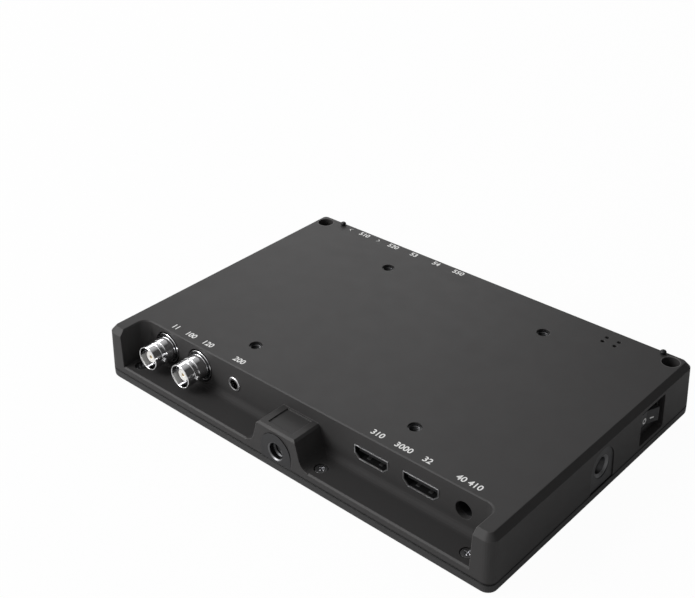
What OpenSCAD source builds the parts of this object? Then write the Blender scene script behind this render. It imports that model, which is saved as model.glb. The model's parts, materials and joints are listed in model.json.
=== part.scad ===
// Camera field monitor, lying on its screen with the back cover up.
// X runs across the width as seen from behind, Y from the socket edge to the key edge,
// Z out of the back. Z is zero on the front rim, X and Y are zero in the middle.

/* [Body] */
// Width over the sides, measured at the seam
body_w = 180; // [176:0.5:190]
// Height from the socket edge to the key edge, measured at the seam
body_h = 122.4; // [120:0.2:130]
// Depth from the front rim to the flat of the back
body_t = 22.6; // [22:0.1:26]
// Plan radius of the four upright corners
corner_r = 3.5; // [2:0.25:6]
// Slope of the outer walls towards the back, degrees
side_draft = 2; // [0:0.25:3]
// How far the bevel round the back runs in over the back face
bevel_w = 1.9; // [0.5:0.1:2.4]
// How far the bevel round the back runs down the walls
bevel_t = 2.2; // [0.5:0.1:3]
// Wall of the rear cover
wall_t = 2; // [1.6:0.1:2.4]
// Plate of the rear cover's back
back_t = 2; // [1.4:0.1:2.6]

/* [Front bezel] */
// Height of the seam above the front rim
seam_z = 4; // [3.8:0.1:4.4]
// Shadow gap between cover and bezel
seam_gap = 0.3; // [0.1:0.05:0.5]
// Radius round the front edge of the bezel
bezel_round = 1.6; // [0.5:0.1:2]
// Border between the clear window and the sides of the body
side_border = 14.5; // [13.5:0.5:17]
// Border between the clear window and the key edge
key_border = 12.2; // [11.6:0.2:14]
// Border between the clear window and the socket edge
foot_border = 15.8; // [14:0.2:18]
// Border of the glass that the bezel's ledge carries
glass_border = 5; // [3:0.25:5.5]
// Thickness of the screen glass
glass_t = 1.1; // [0.7:0.1:1.2]
// Depth of the glass below the front rim
glass_sink = 0.2; // [0.1:0.05:0.4]
// Thickness of the ledge behind the glass
ledge_t = 0.8; // [0.6:0.05:1]

/* [Connector bays] */
// Depth of the bays from the socket edge to their rear wall
bay_depth = 12.8; // [12:0.1:14]
// Thickness of the bays' end walls, at the floor
bay_end = 8.3; // [7.4:0.1:10]
// Height of the bay floor above the front rim
bay_floor_z = 7.2; // [7:0.1:8]
// Plate of the bay floor
bay_floor_t = 1.6; // [1.2:0.1:1.8]
// Plan radius where the rear wall turns into an end wall
bay_corner_r = 3.6; // [2:0.2:5]
// Radius between the floor and the rear wall of the bays
bay_fillet = 2.8; // [1:0.2:3]
// How far the bay walls lean out from floor to back
bay_lean = 0.5; // [0:0.1:0.8]
// Bevel along the top edge of the bay walls
bay_edge = 0.35; // [0.2:0.05:0.8]
// Bevel along the front lip of the bay floor
lip_edge = 0.5; // [0.2:0.1:0.8]

/* [Mount block] */
// Half width of the block at its top
block_top_half = 8.9; // [8.4:0.1:10]
// Half width of the block at its foot
block_foot_half = 11.8; // [11:0.1:13]
// Top of the block above the front rim
block_top_z = 17.5; // [17:0.1:19]
// Radius at the block's foot
block_foot_r = 3; // [1:0.25:4]
// Bevel round the block's top
block_edge = 0.7; // [0.3:0.1:1]
// Radius of the tripod thread, three eighths or quarter inch class
tripod_r = 3.175; // [3:0.025:3.2]
// Depth of the tripod threads
tripod_depth = 8.5; // [7:0.25:9]
// Radius of the arch round a tripod insert
arch_r = 7; // [6:0.1:7]
// Depth of a tripod insert
insert_depth = 10.2; // [9.5:0.1:10.6]
// Height of the lower tripod thread above the front rim
tripod_z = 8.9; // [8.4:0.1:10]
// Height of the side tripod thread above the front rim
side_thread_z = 12; // [11.5:0.1:12.5]

/* [Back face] */
// Distance between neighbouring holes of the four-hole pattern
pattern_pitch = 75; // [74:0.5:76]
// Pattern middle to the right of the body's middle
pattern_x = 0.9; // [0:0.1:2]
// Pattern middle above the body's middle
pattern_rise = 3.9; // [1:0.1:5]
// Radius of the threads in the pattern
pattern_r = 2; // [1.5:0.05:2.1]
// Radius of the holes over the top corner screws
corner_hole_r = 3.25; // [3.1:0.05:3.8]
// Corner screw to the side of the body
corner_hole_in = 6.6; // [6.4:0.1:7.5]
// Corner screw below the key edge
corner_hole_drop = 6.8; // [6.4:0.1:7.4]
// Hood stud to the side of the body
stud_in = 12.8; // [12:0.1:14]
// Both hood studs to the right of the middle
stud_shift = 1.5; // [0:0.1:1.6]
// Hood stud below the key edge
stud_drop = 3.9; // [3.8:0.1:5]
// Radius of a hood stud's head
stud_r = 1.2; // [0.9:0.1:1.3]
// Height of a hood stud's head over the back
stud_h = 1.6; // [1:0.1:2]
// Speaker's place on the way from the right pattern holes to the corner screw
speaker_share = 0.493; // [0.45:0.001:0.55]
// Middle of the speaker holes below the key edge
speaker_drop = 9.2; // [9:0.2:12]
// Speaker hole pitch across
speaker_pitch_x = 5; // [4:0.2:6]
// Speaker hole pitch along the height
speaker_pitch_y = 3.1; // [2.6:0.1:4]
// Radius of a speaker hole
speaker_hole_r = 0.8; // [0.5:0.1:1]

/* [Sockets] */
// Height of the socket axes above the front rim
socket_z = 14.5; // [14:0.1:15]
// Coaxial input to the left side of the body
coax_in = 19.9; // [19:0.1:21]
// Coaxial output to the right of the input
coax_pitch = 18.1; // [17:0.1:19]
// Radius of a coaxial barrel
coax_r = 4.85; // [4.75:0.05:5]
// Radius inside a coaxial barrel
coax_bore_r = 4.1; // [4:0.05:4.2]
// Length of a coaxial socket in front of the rear wall
coax_reach = 9.5; // [9:0.1:11]
// Headphone socket to the right of the coaxial output
phone_pitch = 18.6; // [17:0.1:20]
// Radius of the headphone hole
phone_r = 1.8; // [1.75:0.05:1.9]
// Power jack to the right side of the body
power_in = 20.2; // [19.4:0.1:21]
// Video input to the left of the power jack
video_in_pitch = 17.1; // [16:0.1:18]
// Video output to the left of the video input
video_pitch = 20.8; // [19:0.1:22]
// Width of a video socket's shell
video_w = 14.6; // [14.2:0.1:15.4]
// Height of a video socket's shell
video_h = 5.4; // [5.2:0.1:6]
// Radius of the power jack's hole
power_r = 3.2; // [3:0.05:3.3]
// Radius of the power jack's pin
power_pin_r = 1; // [0.8:0.05:1.25]

/* [Keys and switch] */
// Height of the keys above the front rim
key_z = 12; // [11.5:0.1:12.5]
// Menu wheel to the left side of the body
menu_in = 27.4; // [27:0.1:28]
// First key to the right of the menu wheel
key_start = 16; // [15:0.1:17]
// Distance between neighbouring keys
key_pitch = 11.4; // [11:0.1:12]
// Width of a key
key_w = 6.4; // [5.5:0.1:7]
// Height of a key
key_h = 3.4; // [3:0.1:4]
// How far a key stands out of the key edge
key_proud = 0.4; // [0.2:0.05:0.6]
// Travel of a key
key_travel = 0.4; // [0.25:0.05:0.5]
// Radius of the menu wheel
menu_r = 6.2; // [5.8:0.1:6.3]
// Thickness of the menu wheel
menu_t = 3; // [2.6:0.1:3.4]
// How far the menu wheel stands out of the key edge
menu_proud = 1; // [0.8:0.1:1.2]
// Serrations round the menu wheel
menu_teeth = 28; // [20:1:36]
// Middle of the switch pocket below the key edge
switch_drop = 28.6; // [26:0.1:30]
// Length of the switch pocket
pocket_l = 16; // [15.6:0.2:17]
// Height of the switch pocket
pocket_h = 13.6; // [12.6:0.2:13.8]
// Depth of the switch pocket
pocket_depth = 3; // [2.8:0.1:3.1]
// Half length of the rocker
rocker_half = 5.2; // [5:0.05:5.4]
// Width of the rocker
rocker_w = 5.6; // [5:0.1:6.6]
// Swing of the rocker to each side of its middle, degrees
rocker_tilt = 11; // [9:0.5:12]

/* [Hidden] */

// Facets of hulls and of small rounds
hull_fn = 32;
round_fn = 48;
$fn = round_fn;
// Steps in a quarter turn of an outline's corner, and of a rounded edge
corner_steps = 7;
edge_steps = 5;
// Overrun of every cut, and thickness of the thin plates that a hull spans
over = 1;
skin = 0.01;
// Clearance between seated pieces, round moving pieces and round a running pin
seat_gap = 0.15;
move_gap = 0.25;
run_gap = 0.05;

// Outer walls and datum edges
y_bot = -(body_h + menu_proud) / 2;
y_top = y_bot + body_h;
y_mid = (y_bot + y_top) / 2;
cover_z0 = seam_z + seam_gap;
ceiling_z = body_t - back_t;
function draft_in(z) = tan(side_draft) * max(z - seam_z, 0);
function side_x(z) = body_w / 2 - draft_in(z);
function front_y(z) = y_bot + draft_in(z);
function key_edge_y(z) = y_top - draft_in(z);

// Rear wall of the bays leans back; sockets stand where their axes meet it
bay_w = body_w - 2 * bay_end;
bay_lean_z = body_t + over - bay_floor_z - bay_fillet;
function bay_wall_at(z) = bay_wall_y + bay_lean * (z - bay_floor_z - bay_fillet) / bay_lean_z;

// Seam tongue, inner rooms
tongue_in = 0.7;
room_r = 3;
bay_wall_y = y_bot + bay_depth;
room_y0 = bay_wall_y + wall_t;
room_y1 = y_top - draft_in(body_t) - wall_t;
room_half = body_w / 2 - draft_in(body_t) - wall_t;
floor_under_z = bay_floor_z - bay_floor_t;
socket_wall_y = bay_wall_at(socket_z);

// Screws through the cover into the bezel
post_r = 4.6;
boss_r = 3.1;
boss_pilot_z = 1.4;
corner_screw_r = 1.5;
corner_head_r = 2.8;
corner_head_t = 2.2;
corner_seat_z = 9.5;
corner_hole_x = body_w / 2 - corner_hole_in;
corner_hole_y = y_top - corner_hole_drop;
stud_x = body_w / 2 - stud_in;
floor_screw_r = 1.1;
floor_head_r = 2.2;
floor_head_t = 1.3;
floor_sink_r = 2.5;
floor_sink_t = 1.5;
floor_sink_z = bay_floor_z - floor_sink_t;
floor_screw_in = 5.2;
floor_screw_y = y_bot + floor_screw_in;
floor_screw_inner_x = 16.4;
floor_screw_side = 12.6;
floor_screw_xs = [-body_w / 2 + floor_screw_side, floor_screw_inner_x,
    body_w / 2 - floor_screw_side];
socket_key_r = 1.1;
socket_key_depth = 0.9;

// Display stack, from the front
window_w = body_w - 2 * side_border;
window_h = body_h - key_border - foot_border;
screen_y = y_bot + foot_border + window_h / 2;
glass_corner_r = 1;
glass_w = window_w + 2 * glass_border;
glass_h = window_h + 2 * glass_border;
glass_z = glass_sink;
ledge_z0 = glass_z + glass_t;
ledge_z1 = ledge_z0 + ledge_t;
panel_side = 2.5;
panel_edge = 3.1;
panel_w = window_w + 2 * panel_side;
panel_h = window_h + 2 * panel_edge;
gasket_t = 0.3;
gasket_in = 0.5;
cell_z = ledge_z1 + gasket_t;
cell_t = 1.1;
guide_t = 1.2;
tray_t = 0.4;
tray_z1 = cell_z + cell_t + guide_t + tray_t;
bezel_wall = 2;

// Four-hole pattern
pattern_y = y_mid + pattern_rise;
insert_r = 3;
insert_len = 4.7;
insert_sink = 0.6;
insert_mouth_r = 2.5;
insert_boss_r = 4.6;
pattern_spots = [for (sx = [-1, 1]) for (sy = [-1, 1])
    [pattern_x + sx * pattern_pitch / 2, pattern_y + sy * pattern_pitch / 2]];

// Tripod inserts
insert_flange_t = 2;
insert_flange_in = 1.5;
insert_gap = 0.05;
insert_recess = 0.35;
tripod_mouth = 0.45;
side_mouth_t = 0.8;
side_mouth_in = 1.3;
side_thread_shift = 0.5;
side_thread_y = y_mid + side_thread_shift;
tripod_y0 = front_y(cover_z0);
side_boss_t = 1.4;
side_boss_half = arch_r + insert_flange_in + side_boss_t;
side_insert_x0 = side_x(cover_z0) - insert_depth;
panel_inset = 3.2;
panel_sink = 0.4;

// Main board hangs under the cover, its upper face below the sockets
socket_lift = 0.1;
board_top_z = socket_z - video_h / 2 - socket_lift;
board_t = 1.6;
board_gap = 0.5;
board_in = 17;
board_x = body_w / 2 - board_in;
board_y0 = room_y0 + board_gap;
board_key_room = 13;
board_y1 = room_y1 - board_key_room;
board_post_r = 3;
board_post_in = 4.5;
board_post_low = 17.5;
board_post_high = 12;
board_post_y0 = board_y0 + board_post_low;
board_post_y1 = board_y1 - board_post_high;
board_screw_r = 1;
board_screw_head_r = 1.9;
board_screw_head_t = 1.1;
board_screw_len = 5;
board_screw_spare = 1;
recess_depth = 0.6;
board_spots = [for (sx = [-1, 1]) for (y = [board_post_y0, board_post_y1])
    [sx * (board_x - board_post_in), y]];

// Coaxial sockets: collar in the wall, barrel, bayonet lugs
coax_in_x = -body_w / 2 + coax_in;
coax_out_x = coax_in_x + coax_pitch;
coax_collar_in = 0.85;
coax_flange_in = 1.15;
coax_hole_in = 1.75;
coax_collar_r = coax_r + coax_collar_in;
coax_flange_r = coax_r + coax_flange_in;
coax_flange_t = 0.7;
coax_hole_r = coax_r + coax_hole_in;
coax_collar_len = 3.2;
coax_back = 9;
coax_cup = 7.5;
coax_lug_r = 0.9;
coax_lug_reach = 0.8;
coax_lug_in = 0.5;
coax_lug_foot = coax_r - coax_lug_in;
coax_lug_from_tip = 4.8;
coax_step = 0.1;
coax_step_from_tip = 3.2;
coax_tip_round = 0.4;
coax_core_r = 2.3;
coax_core_short = 1.2;
coax_contact_r = 0.7;
coax_contact_short = 1.6;
coax_foot_half = 6;

// Headphone socket
phone_x = coax_out_x + phone_pitch;
phone_nose_in = 0.85;
phone_nose_r = phone_r + phone_nose_in;
phone_nose_proud = 0.3;
phone_y0 = socket_wall_y - phone_nose_proud;
phone_len = 9;
phone_body_w = 7;
phone_body_up = 0.05;
phone_back_t = 1.2;

// Video sockets: folded shell, tongue and core
video_t = 0.35;
power_x = body_w / 2 - power_in;
video_in_x = power_x - video_in_pitch;
video_out_x = video_in_x - video_pitch;
video_len = 10;
video_proud = 0.15;
video_y0 = socket_wall_y - video_proud;
video_low_share = 0.72;
video_side_share = 0.6;
video_tongue_w = 12;
video_tongue_t = 1;
video_core_t = 3;
video_tongue_short = 1.2;

// Power jack
power_body_w = 9;
power_body_wall = 0.9;
power_body_z0 = socket_z - power_r - power_body_wall;
power_body_up = 5.2;
power_len = 13.5;
power_bore_len = 9.5;
power_pin_short = 2.4;
power_tail = 1.5;

// Keys: stadium cap, flange inside the wall, stem to the switch
menu_x = -body_w / 2 + menu_in;
first_key_x = menu_x + key_start;
key_flange = 0.9;
key_flange_t = 0.8;
key_wall_in_y = room_y1;
key_stem_r = 1.3;
key_stem_len = 1.2;
key_tip_y = y_top + key_proud;
key_switch_h = 1.6;
key_switch_w = 4.5;
key_button_r = 1;
key_button_h = 0.5;
key_board_t = 1.2;
key_board_z0 = 5.2;
key_board_z1 = 15;
key_screw_drop = 4.9;
key_screw_z = key_z - key_screw_drop;
key_screw_reach = 2.4;
key_stem_end_y = key_wall_in_y - key_flange_t - key_stem_len;
key_board_y1 = key_stem_end_y - key_travel - run_gap - key_button_h - key_switch_h;
key_board_left = 5.6;
key_board_right = 8;
key_xs = [for (i = [0 : 3]) first_key_x + i * key_pitch];
key_board_x0 = first_key_x - key_board_left;
key_board_x1 = key_xs[3] + key_board_right;
key_mid_x = (key_board_x0 + key_board_x1) / 2;
key_board_spots = [first_key_x + key_pitch * 0.5, first_key_x + key_pitch * 2.5];
key_post_r = 2.1;

// Menu wheel on a sliding fork
menu_y = y_top + menu_proud - menu_r;
menu_pin_r = 1.1;
menu_plate_t = 0.8;
menu_plate_half = 2.4;
menu_tooth = 0.35;
menu_wall_relief = 1;
menu_slot_half = 5.4;
menu_room = 1;
menu_tail_room = 1.4;
menu_fork_tail = menu_r + menu_tail_room;
menu_fork_back_t = 1.6;
menu_travel = 0.5;
menu_tail_y = menu_y - menu_fork_tail - menu_fork_back_t;
menu_base_y1 = menu_tail_y - menu_travel - run_gap - key_button_h;
menu_base_l = 5;
menu_cheek_t = 1.4;

// Power switch: pocket, frame, rocker
switch_y = y_top - switch_drop;
pocket_z = 12.5;
switch_z = 12.9;
pocket_wall = 1.4;
pocket_x = side_x(pocket_z) - pocket_depth;
pocket_corner_r = 0.8;
frame_l = 14;
frame_h = 9.6;
frame_t = 0.9;
rocker_room = 0.85;
rocker_room_l = 2 * (rocker_half + rocker_room);
rocker_room_h = rocker_w + 2 * move_gap;
housing_in_l = 0.9;
housing_in_h = 0.7;
housing_l = frame_l - 2 * housing_in_l;
housing_h = frame_h - 2 * housing_in_h;
housing_len = 9.5;
rocker_depth = 2.4;
rocker_end = 0.5;
rocker_pivot_x = pocket_x + frame_t - rocker_depth;
rocker_valley = (pocket_x + frame_t - rocker_pivot_x) / cos(rocker_tilt);
rocker_horn = rocker_valley + rocker_half * tan(rocker_tilt);
rocker_base_r = 3.4;
rocker_pin_r = 0.9;
rocker_pin_len = 0.7;
terminal_w = 3;
terminal_t = 0.6;
terminal_len = 4;

// Speaker and small parts on the board
speaker_l = 16;
speaker_d = 9;
speaker_t = 4;
pattern_right_x = pattern_x + pattern_pitch / 2;
speaker_x = pattern_right_x + speaker_share * (corner_hole_x - pattern_right_x);
speaker_y = y_top - speaker_drop;
chip_side = 3;
chip_gap = 12;
chip_big = 14;
chip_mid = 11;
chip_small = 8;
chip_t = 1.2;
shield_t = 3;
shield_w = 22;
shield_l = 26;
shield_side = 8;
shield_room = 20;
shield_x = coax_in_x + shield_side;
shield_y = board_y0 + shield_room;
ribbon_t = 0.3;
ribbon_socket_t = 1.8;
ribbon_socket_d = 4;
ribbon_socket_in = 2;
ribbon_gap = 0.1;
ribbon_z1 = board_top_z - board_t - ribbon_socket_t / 2;
key_socket_w = 20;
key_ribbon_w = 16;
panel_socket_w = 22;
panel_ribbon_w = 18;
panel_socket_x = board_x - panel_socket_w;
panel_ribbon_turn = 6;
panel_ribbon_run = 16;

// Colours as the photograph shows them
cover_colour = "#2e2e30";
bezel_colour = "#333335";
black_colour = "#151516";
chrome_colour = "#c9cbce";
steel_colour = "#8d9094";
black_steel_colour = "#2a2a2c";
brass_colour = "#b9974f";
board_colour = "#1f4a33";
white_colour = "#e8e6e0";

// Outline helpers

// Rectangle with round corners, centred
module rounded_outline(w, d, r) {
    polygon([for (c = [0 : 3]) for (s = [0 : corner_steps])
        let (a = 90 * (c + s / corner_steps),
            sx = (c == 0 || c == 3) ? 1 : -1,
            sy = c < 2 ? 1 : -1)
        [sx * (w / 2 - r) + r * cos(a), sy * (d / 2 - r) + r * sin(a)]]);
}

// Straight block with round upright corners, from z0 to z1, between two Y places
module rounded_block(x0, x1, y0, y1, z0, z1, r) {
    translate([(x0 + x1) / 2, (y0 + y1) / 2, z0])
        linear_extrude(z1 - z0) rounded_outline(x1 - x0, y1 - y0, r);
}

// Plain block between two corners
module block(x0, x1, y0, y1, z0, z1) {
    translate([x0, y0, z0]) cube([x1 - x0, y1 - y0, z1 - z0]);
}

// Round bar along Y between two places, at x and z
module bar_y(x, z, y0, y1, r) {
    translate([x, y0, z]) rotate([-90, 0, 0]) cylinder(h = y1 - y0, r = r);
}

// Round bar along X
module bar_x(y, z, x0, x1, r) {
    translate([x0, y, z]) rotate([0, 90, 0]) cylinder(h = x1 - x0, r = r);
}

// Upright round bar
module bar_z(spot, z0, z1, r) {
    translate([spot[0], spot[1], z0]) cylinder(h = z1 - z0, r = r);
}

// Outline of an arch: half round above, straight legs down by leg
module arch_outline(r, leg) {
    intersection() {
        union() {
            circle(r);
            translate([-r, -leg]) square([2 * r, leg]);
        }
        translate([-r, -leg]) square([2 * r, leg + r]);
    }
}

// Two round ends joined, lying along X
module stadium(w, h) {
    translate([-(w - h) / 2, -h / 2]) square([w - h, h]);
    for (s = [-1, 1]) translate([s * (w - h) / 2, 0]) circle(h / 2);
}

// Outer form

// One thin slice of the drafted outside, drawn in by inset
module form_slice(z, inset) {
    translate([0, y_mid, z]) linear_extrude(skin)
        rounded_outline(body_w - 2 * (draft_in(z) + inset),
            body_h - 2 * (draft_in(z) + inset), max(corner_r - inset, skin));
}

module cover_form() {
    hull() {
        form_slice(cover_z0, 0);
        form_slice(body_t - bevel_t, 0);
        form_slice(body_t - skin, bevel_w);
    }
}

// Thin slice of the bays' plan: rear wall moved back, end walls moved out
module bay_slice(z, back, out) {
    reach = bay_depth + 3 * bay_corner_r;
    translate([0, bay_wall_y + back - reach / 2, z]) linear_extrude(skin)
        rounded_outline(bay_w + 2 * out, reach, bay_corner_r + out * 0.5);
}

// Bays: floor fillet along the rear wall, walls that lean out, bevel along their top edge
module bay_cut() {
    hull() {
        for (s = [0 : edge_steps])
            bay_slice(bay_floor_z + bay_fillet * (1 - cos(90 * s / edge_steps)),
                bay_fillet * (sin(90 * s / edge_steps) - 1), 0);
        bay_slice(body_t + over, bay_lean, bay_lean);
    }
    hull() {
        bay_slice(body_t - bay_edge, bay_lean, bay_lean);
        bay_slice(body_t + bay_edge, bay_lean + 2 * bay_edge, bay_lean + 2 * bay_edge);
    }
}

// Front of the tripod block with round feet, in X and Z
module block_outline() {
    rise = block_top_z - bay_floor_z;
    slope = (block_foot_half - block_top_half) / rise;
    foot = [for (s = [0 : edge_steps]) let (a = 90 * s / edge_steps)
        [block_foot_half + block_foot_r * (1 - sin(a)) - slope * block_foot_r * (1 - cos(a)),
            bay_floor_z + block_foot_r * (1 - cos(a))]];
    right = concat([[block_foot_half + block_foot_r, floor_under_z]], foot,
        [[block_top_half + slope * block_edge, block_top_z - block_edge],
            [block_top_half - block_edge, block_top_z]]);
    count = len(right);
    polygon(concat(right, [for (i = [0 : count - 1])
        [-right[count - 1 - i][0], right[count - 1 - i][1]]]));
}

module mount_block() {
    intersection() {
        translate([0, bay_wall_y + bay_lean + skin, 0]) rotate([90, 0, 0])
            linear_extrude(bay_depth + over) block_outline();
        cover_form();
    }
}

// Tripod insert grown by gap, its back end at zero: arch with legs to the seam, and a
// foot on each side that keeps it from being pulled out
module insert_body(gap, leg, reach) {
    linear_extrude(reach) arch_outline(arch_r + gap, leg + gap);
    linear_extrude(insert_flange_t + 2 * gap) translate([0, -leg / 2])
        square([2 * (arch_r + insert_flange_in + gap), leg + 2 * gap], center = true);
}

// Upright front of the lower insert: flush at the seam, so it stands proud further up
module tripod_seat(gap, reach) {
    translate([0, tripod_y0 + insert_depth + gap, tripod_z]) rotate([90, 0, 0])
        insert_body(gap, tripod_z - cover_z0, reach);
}

module side_seat(gap, reach) {
    translate([side_insert_x0 - gap, side_thread_y, side_thread_z]) rotate([90, 0, 90])
        insert_body(gap, side_thread_z - cover_z0, reach);
}

// Rear cover

// Rooms inside the cover: over the display, and low under the bay floor
module cover_rooms() {
    rounded_block(-room_half, room_half, room_y0, room_y1, seam_z - over, ceiling_z, room_r);
    rounded_block(-room_half, room_half, y_bot + wall_t, room_y1,
        seam_z - over, floor_under_z, room_r);
}

// Rim that stands in the seam, a little inside the walls
module cover_tongue() {
    rounded_block(-body_w / 2 + tongue_in, body_w / 2 - tongue_in, y_bot + tongue_in,
        y_top - tongue_in, seam_z, cover_z0 + over, corner_r - tongue_in);
}

// Posts and bosses that stand in the rooms
module cover_posts() {
    for (s = [-1, 1]) bar_z([s * corner_hole_x, corner_hole_y], seam_z, ceiling_z + skin, post_r);
    for (x = floor_screw_xs) bar_z([x, floor_screw_y], seam_z, floor_under_z + skin, boss_r);
    for (p = pattern_spots)
        bar_z(p, body_t - insert_sink - insert_len, ceiling_z + skin, insert_boss_r);
    for (p = board_spots) bar_z(p, board_top_z, ceiling_z + skin, board_post_r);
    for (x = key_board_spots)
        bar_y(x, key_screw_z, key_board_y1, key_wall_in_y + skin, key_post_r);
    block(side_insert_x0 - side_boss_t, room_half + skin, side_thread_y - side_boss_half,
        side_thread_y + side_boss_half, cover_z0, ceiling_z + skin);
    block(pocket_x - pocket_wall, room_half + skin, switch_y - pocket_l / 2 - pocket_wall,
        switch_y + pocket_l / 2 + pocket_wall, seam_z, ceiling_z + skin);
    block(-side_boss_half, side_boss_half, y_bot + wall_t - skin,
        tripod_y0 + insert_depth + side_boss_t, cover_z0, floor_under_z + skin);
}

module wall_holes() {
    y0 = bay_wall_y - bay_lean - over;
    y1 = room_y0 + over;
    for (x = [coax_in_x, coax_out_x]) bar_y(x, socket_z, y0, y1, coax_hole_r);
    bar_y(phone_x, socket_z, y0, y1, phone_nose_r + seat_gap);
    bar_y(power_x, socket_z, y0, y1, power_r);
    for (x = [video_out_x, video_in_x])
        translate([x, y1, socket_z]) rotate([90, 0, 0])
            linear_extrude(y1 - y0) video_outline(seat_gap);
}

module key_holes() {
    for (x = key_xs) translate([x, y_top + over, key_z]) rotate([90, 0, 0])
        linear_extrude(wall_t + 3 * over) stadium(key_w + 2 * seat_gap, key_h + 2 * seat_gap);
    block(menu_x - menu_slot_half, menu_x + menu_slot_half, key_wall_in_y - over, y_top + over,
        key_z - menu_t / 2 - move_gap, key_z + menu_t / 2 + move_gap);
    block(menu_x - menu_r - menu_room, menu_x + menu_r + menu_room, key_wall_in_y - over,
        key_edge_y(key_z) - menu_wall_relief,
        key_z - menu_t / 2 - 3 * menu_plate_t, key_z + menu_t / 2 + 3 * menu_plate_t);
}

module back_holes() {
    for (s = [-1, 1]) {
        spot = [s * corner_hole_x, corner_hole_y];
        bar_z(spot, corner_seat_z, body_t + over, corner_hole_r);
        bar_z(spot, seam_z - over, body_t, corner_screw_r + seat_gap);
        bar_z([s * stud_x + stud_shift, y_top - stud_drop], ceiling_z - over, body_t + over, stud_r * 0.6);
    }
    for (x = floor_screw_xs) {
        bar_z([x, floor_screw_y], floor_sink_z, bay_floor_z + over, floor_sink_r);
        bar_z([x, floor_screw_y], seam_z - over, bay_floor_z, floor_screw_r + seat_gap);
    }
    for (p = pattern_spots) {
        bar_z(p, body_t - insert_sink - insert_len - over, body_t - insert_sink, insert_r);
        bar_z(p, body_t - insert_sink - skin, body_t + over, insert_mouth_r);
    }
    for (p = board_spots)
        bar_z(p, board_top_z - over, board_top_z + board_screw_len, board_screw_r + skin);
    for (x = key_board_spots)
        bar_y(x, key_screw_z, key_board_y1 - over, key_board_y1 + key_screw_reach + seat_gap,
            board_screw_r + skin);
    for (sx = [-0.5, 0.5]) for (sy = [-0.5, 0.5])
        bar_z([speaker_x + sx * speaker_pitch_x, speaker_y + sy * speaker_pitch_y],
            ceiling_z - over, body_t + over, speaker_hole_r);
}

module pocket_cut() {
    translate([pocket_x, switch_y, pocket_z]) rotate([90, 0, 90])
        linear_extrude(pocket_depth + over) rounded_outline(pocket_l, pocket_h, pocket_corner_r);
    block(pocket_x - pocket_wall - over, pocket_x + over, switch_y - housing_l / 2 - seat_gap,
        switch_y + housing_l / 2 + seat_gap, switch_z - housing_h / 2 - seat_gap,
        switch_z + housing_h / 2 + seat_gap);
}

// Long bevel on the lip of the bay floor, between the end walls
module lip_bevel_cut() {
    front_bevel(bay_w / 2, bay_floor_z, lip_edge);
}

// Cuts a bevel along an upper edge at the front, to half on each side of the middle
module front_bevel(half, z, bevel) {
    translate([-half, front_y(z), z]) rotate([90, 0, 90])
        linear_extrude(2 * half) polygon([[-over, -bevel - over], [bevel + over, over],
            [-over, over]]);
}

module block_panel_cut() {
    block(-block_top_half + panel_inset, block_top_half - panel_inset,
        front_y(block_top_z) + panel_inset * 0.75, bay_wall_y - panel_sink,
        block_top_z - panel_sink, block_top_z + over);
}

module rear_cover() {
    color(cover_colour) difference() {
        union() {
            difference() {
                union() {
                    cover_form();
                    cover_tongue();
                }
                cover_rooms();
                bay_cut();
                lip_bevel_cut();
            }
            cover_posts();
            mount_block();
        }
        tripod_seat(insert_gap, insert_depth + over);
        side_seat(insert_gap, insert_depth + over);
        block_panel_cut();
        front_bevel(block_foot_half, block_top_z, block_edge);
        wall_holes();
        key_holes();
        back_holes();
        pocket_cut();
    }
}

// Front bezel and display

module front_bezel() {
    color(bezel_colour) difference() {
        union() {
            difference() {
                hull() {
                    for (s = [0 : edge_steps]) let (a = 90 * s / edge_steps)
                        translate([0, y_mid, bezel_round * (1 - cos(a))])
                            linear_extrude(skin)
                                rounded_outline(body_w - 2 * bezel_round * (1 - sin(a)),
                                    body_h - 2 * bezel_round * (1 - sin(a)), corner_r);
                    translate([0, y_mid, seam_z - skin]) linear_extrude(skin)
                        rounded_outline(body_w, body_h, corner_r);
                }
                rounded_block(-body_w / 2 + bezel_wall, body_w / 2 - bezel_wall,
                    y_bot + bezel_wall, y_top - bezel_wall, ledge_z1, seam_z + over, room_r);
            }
            for (s = [-1, 1])
                bar_z([s * corner_hole_x, corner_hole_y], ledge_z1 - skin, seam_z, boss_r);
            for (x = floor_screw_xs) bar_z([x, floor_screw_y], ledge_z1 - skin, seam_z, boss_r);
        }
        rounded_block(-glass_w / 2 - seat_gap, glass_w / 2 + seat_gap,
            screen_y - glass_h / 2 - seat_gap, screen_y + glass_h / 2 + seat_gap,
            -over, ledge_z0, glass_corner_r + seat_gap);
        block(-window_w / 2, window_w / 2, screen_y - window_h / 2, screen_y + window_h / 2,
            -over, seam_z + over);
        for (s = [-1, 1])
            bar_z([s * corner_hole_x, corner_hole_y], boss_pilot_z, seam_z + over,
                corner_screw_r + skin);
        for (x = floor_screw_xs)
            bar_z([x, floor_screw_y], boss_pilot_z, seam_z + over, floor_screw_r + skin);
    }
}

module screen_glass() {
    color(black_colour)
        rounded_block(-glass_w / 2, glass_w / 2, screen_y - glass_h / 2, screen_y + glass_h / 2,
            glass_z, ledge_z0, glass_corner_r);
}

// Block centred on the screen, w by h, from z0 to z1
module screen_block(w, h, z0, z1) {
    translate([-w / 2, screen_y - h / 2, z0]) cube([w, h, z1 - z0]);
}

module panel_gasket() {
    color("#3a3a3a") difference() {
        screen_block(panel_w - 2 * gasket_in, panel_h - 2 * gasket_in, ledge_z1, cell_z);
        screen_block(window_w + 2 * gasket_in, window_h + 2 * gasket_in,
            ledge_z1 - over, cell_z + over);
    }
}

module display_cell() {
    color("#101418") screen_block(panel_w - 2 * tray_t, panel_h - 2 * tray_t,
        cell_z, cell_z + cell_t);
}

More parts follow.
